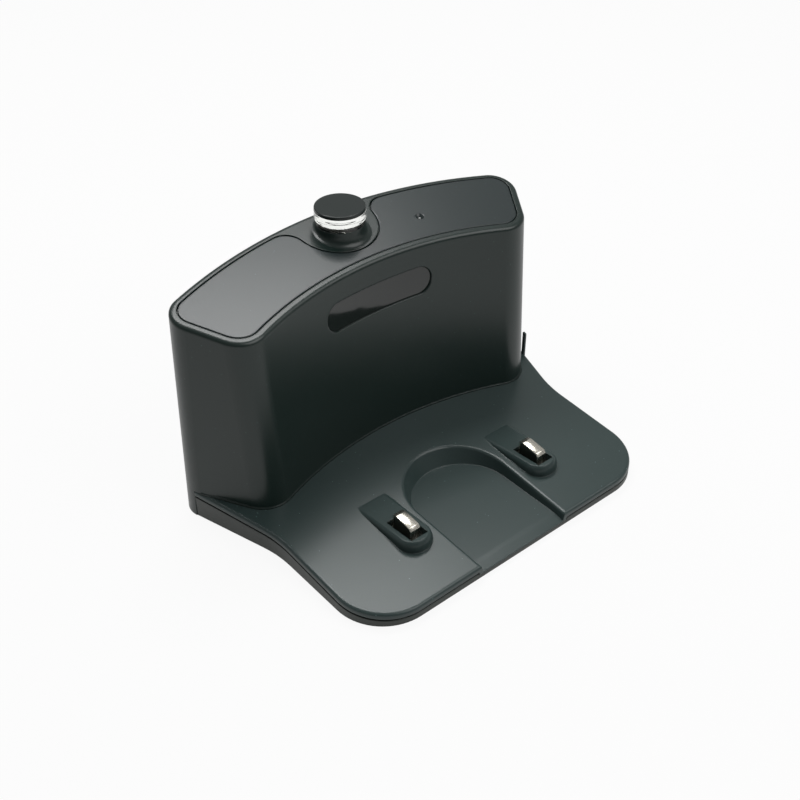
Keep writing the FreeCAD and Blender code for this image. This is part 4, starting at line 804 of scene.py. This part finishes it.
def add_camera():
    """Camera at the photograph's viewing angle."""
    look = stage_settings()
    flat = math.cos(look.elevation)
    back = Vector((math.sin(look.azimuth) * flat, -math.cos(look.azimuth) * flat, math.sin(look.elevation)))
    right = Vector((math.cos(look.azimuth), math.sin(look.azimuth), 0.0))
    up = back.cross(right)
    turned_right = right * math.cos(look.roll) + up * math.sin(look.roll)
    turned_up = up * math.cos(look.roll) - right * math.sin(look.roll)
    data = bpy.data.cameras.new("photo_camera")
    data.sensor_width = SENSOR_WIDTH
    data.lens = look.focal
    data.shift_x = (IMAGE_SIZE / 2 - look.centre_x) / IMAGE_SIZE
    data.shift_y = (look.centre_y - IMAGE_SIZE / 2) / IMAGE_SIZE
    camera = bpy.data.objects.new("photo_camera", data)
    turn = Matrix((turned_right, turned_up, back)).transposed().to_4x4()
    camera.matrix_world = Matrix.Translation(Vector(look.aim) + back * look.distance) @ turn
    bpy.context.scene.collection.objects.link(camera)
    bpy.context.scene.camera = camera


class DOCK_OT_stage(bpy.types.Operator):
    """Pale floor, soft light and the camera"""
    bl_idname = "dock.stage"
    bl_label = "Stage"

    def execute(self, context):
        look = stage_settings()
        floor = begin("floor", bpy.ops.mesh.primitive_plane_add, size=look.floor_size)
        floor.data.materials.append(floor_material())
        context.scene.world = studio_world()
        add_softbox("rear_softbox", look.softbox_azimuth, look.softbox_elevation,
                    look.softbox_width, look.softbox_height, look.softbox_power)
        add_softbox("front_fill", look.fill_azimuth, look.fill_elevation,
                    look.fill_width, look.fill_height, look.fill_power)
        add_camera()
        context.scene.view_settings.view_transform = "Standard"
        return {"FINISHED"}


class DOCK_PT_panel(bpy.types.Panel):
    """Dock finish tools"""
    bl_idname = "DOCK_PT_panel"
    bl_label = "Charging Dock"
    bl_space_type = "VIEW_3D"
    bl_region_type = "UI"
    bl_category = "Dock"

    def draw(self, context):
        for operator in OPERATORS:
            self.layout.operator(operator.bl_idname)


OPERATORS = (
    DOCK_OT_shell,
    DOCK_OT_beacon,
    DOCK_OT_window,
    DOCK_OT_status_lamp,
    DOCK_OT_contacts,
    DOCK_OT_springs,
    DOCK_OT_screws,
    DOCK_OT_feet,
    DOCK_OT_inner,
    DOCK_OT_stage,
)
CLASSES = (DockFinishSettings, DockStageSettings, *OPERATORS, DOCK_PT_panel)


def register():
    for kind in CLASSES:
        bpy.utils.register_class(kind)
    bpy.types.Scene.dock_finish = bpy.props.PointerProperty(type=DockFinishSettings)
    bpy.types.Scene.dock_stage = bpy.props.PointerProperty(type=DockStageSettings)


def unregister():
    del bpy.types.Scene.dock_stage
    del bpy.types.Scene.dock_finish
    for kind in reversed(CLASSES):
        bpy.utils.unregister_class(kind)


def main():
    register()
    bpy.ops.dock.shell()
    bpy.ops.dock.beacon()
    bpy.ops.dock.window()
    bpy.ops.dock.status_lamp()
    bpy.ops.dock.contacts()
    bpy.ops.dock.springs()
    bpy.ops.dock.screws()
    bpy.ops.dock.feet()
    bpy.ops.dock.inner()
    bpy.ops.dock.stage()


if __name__ == "__main__":
    main()
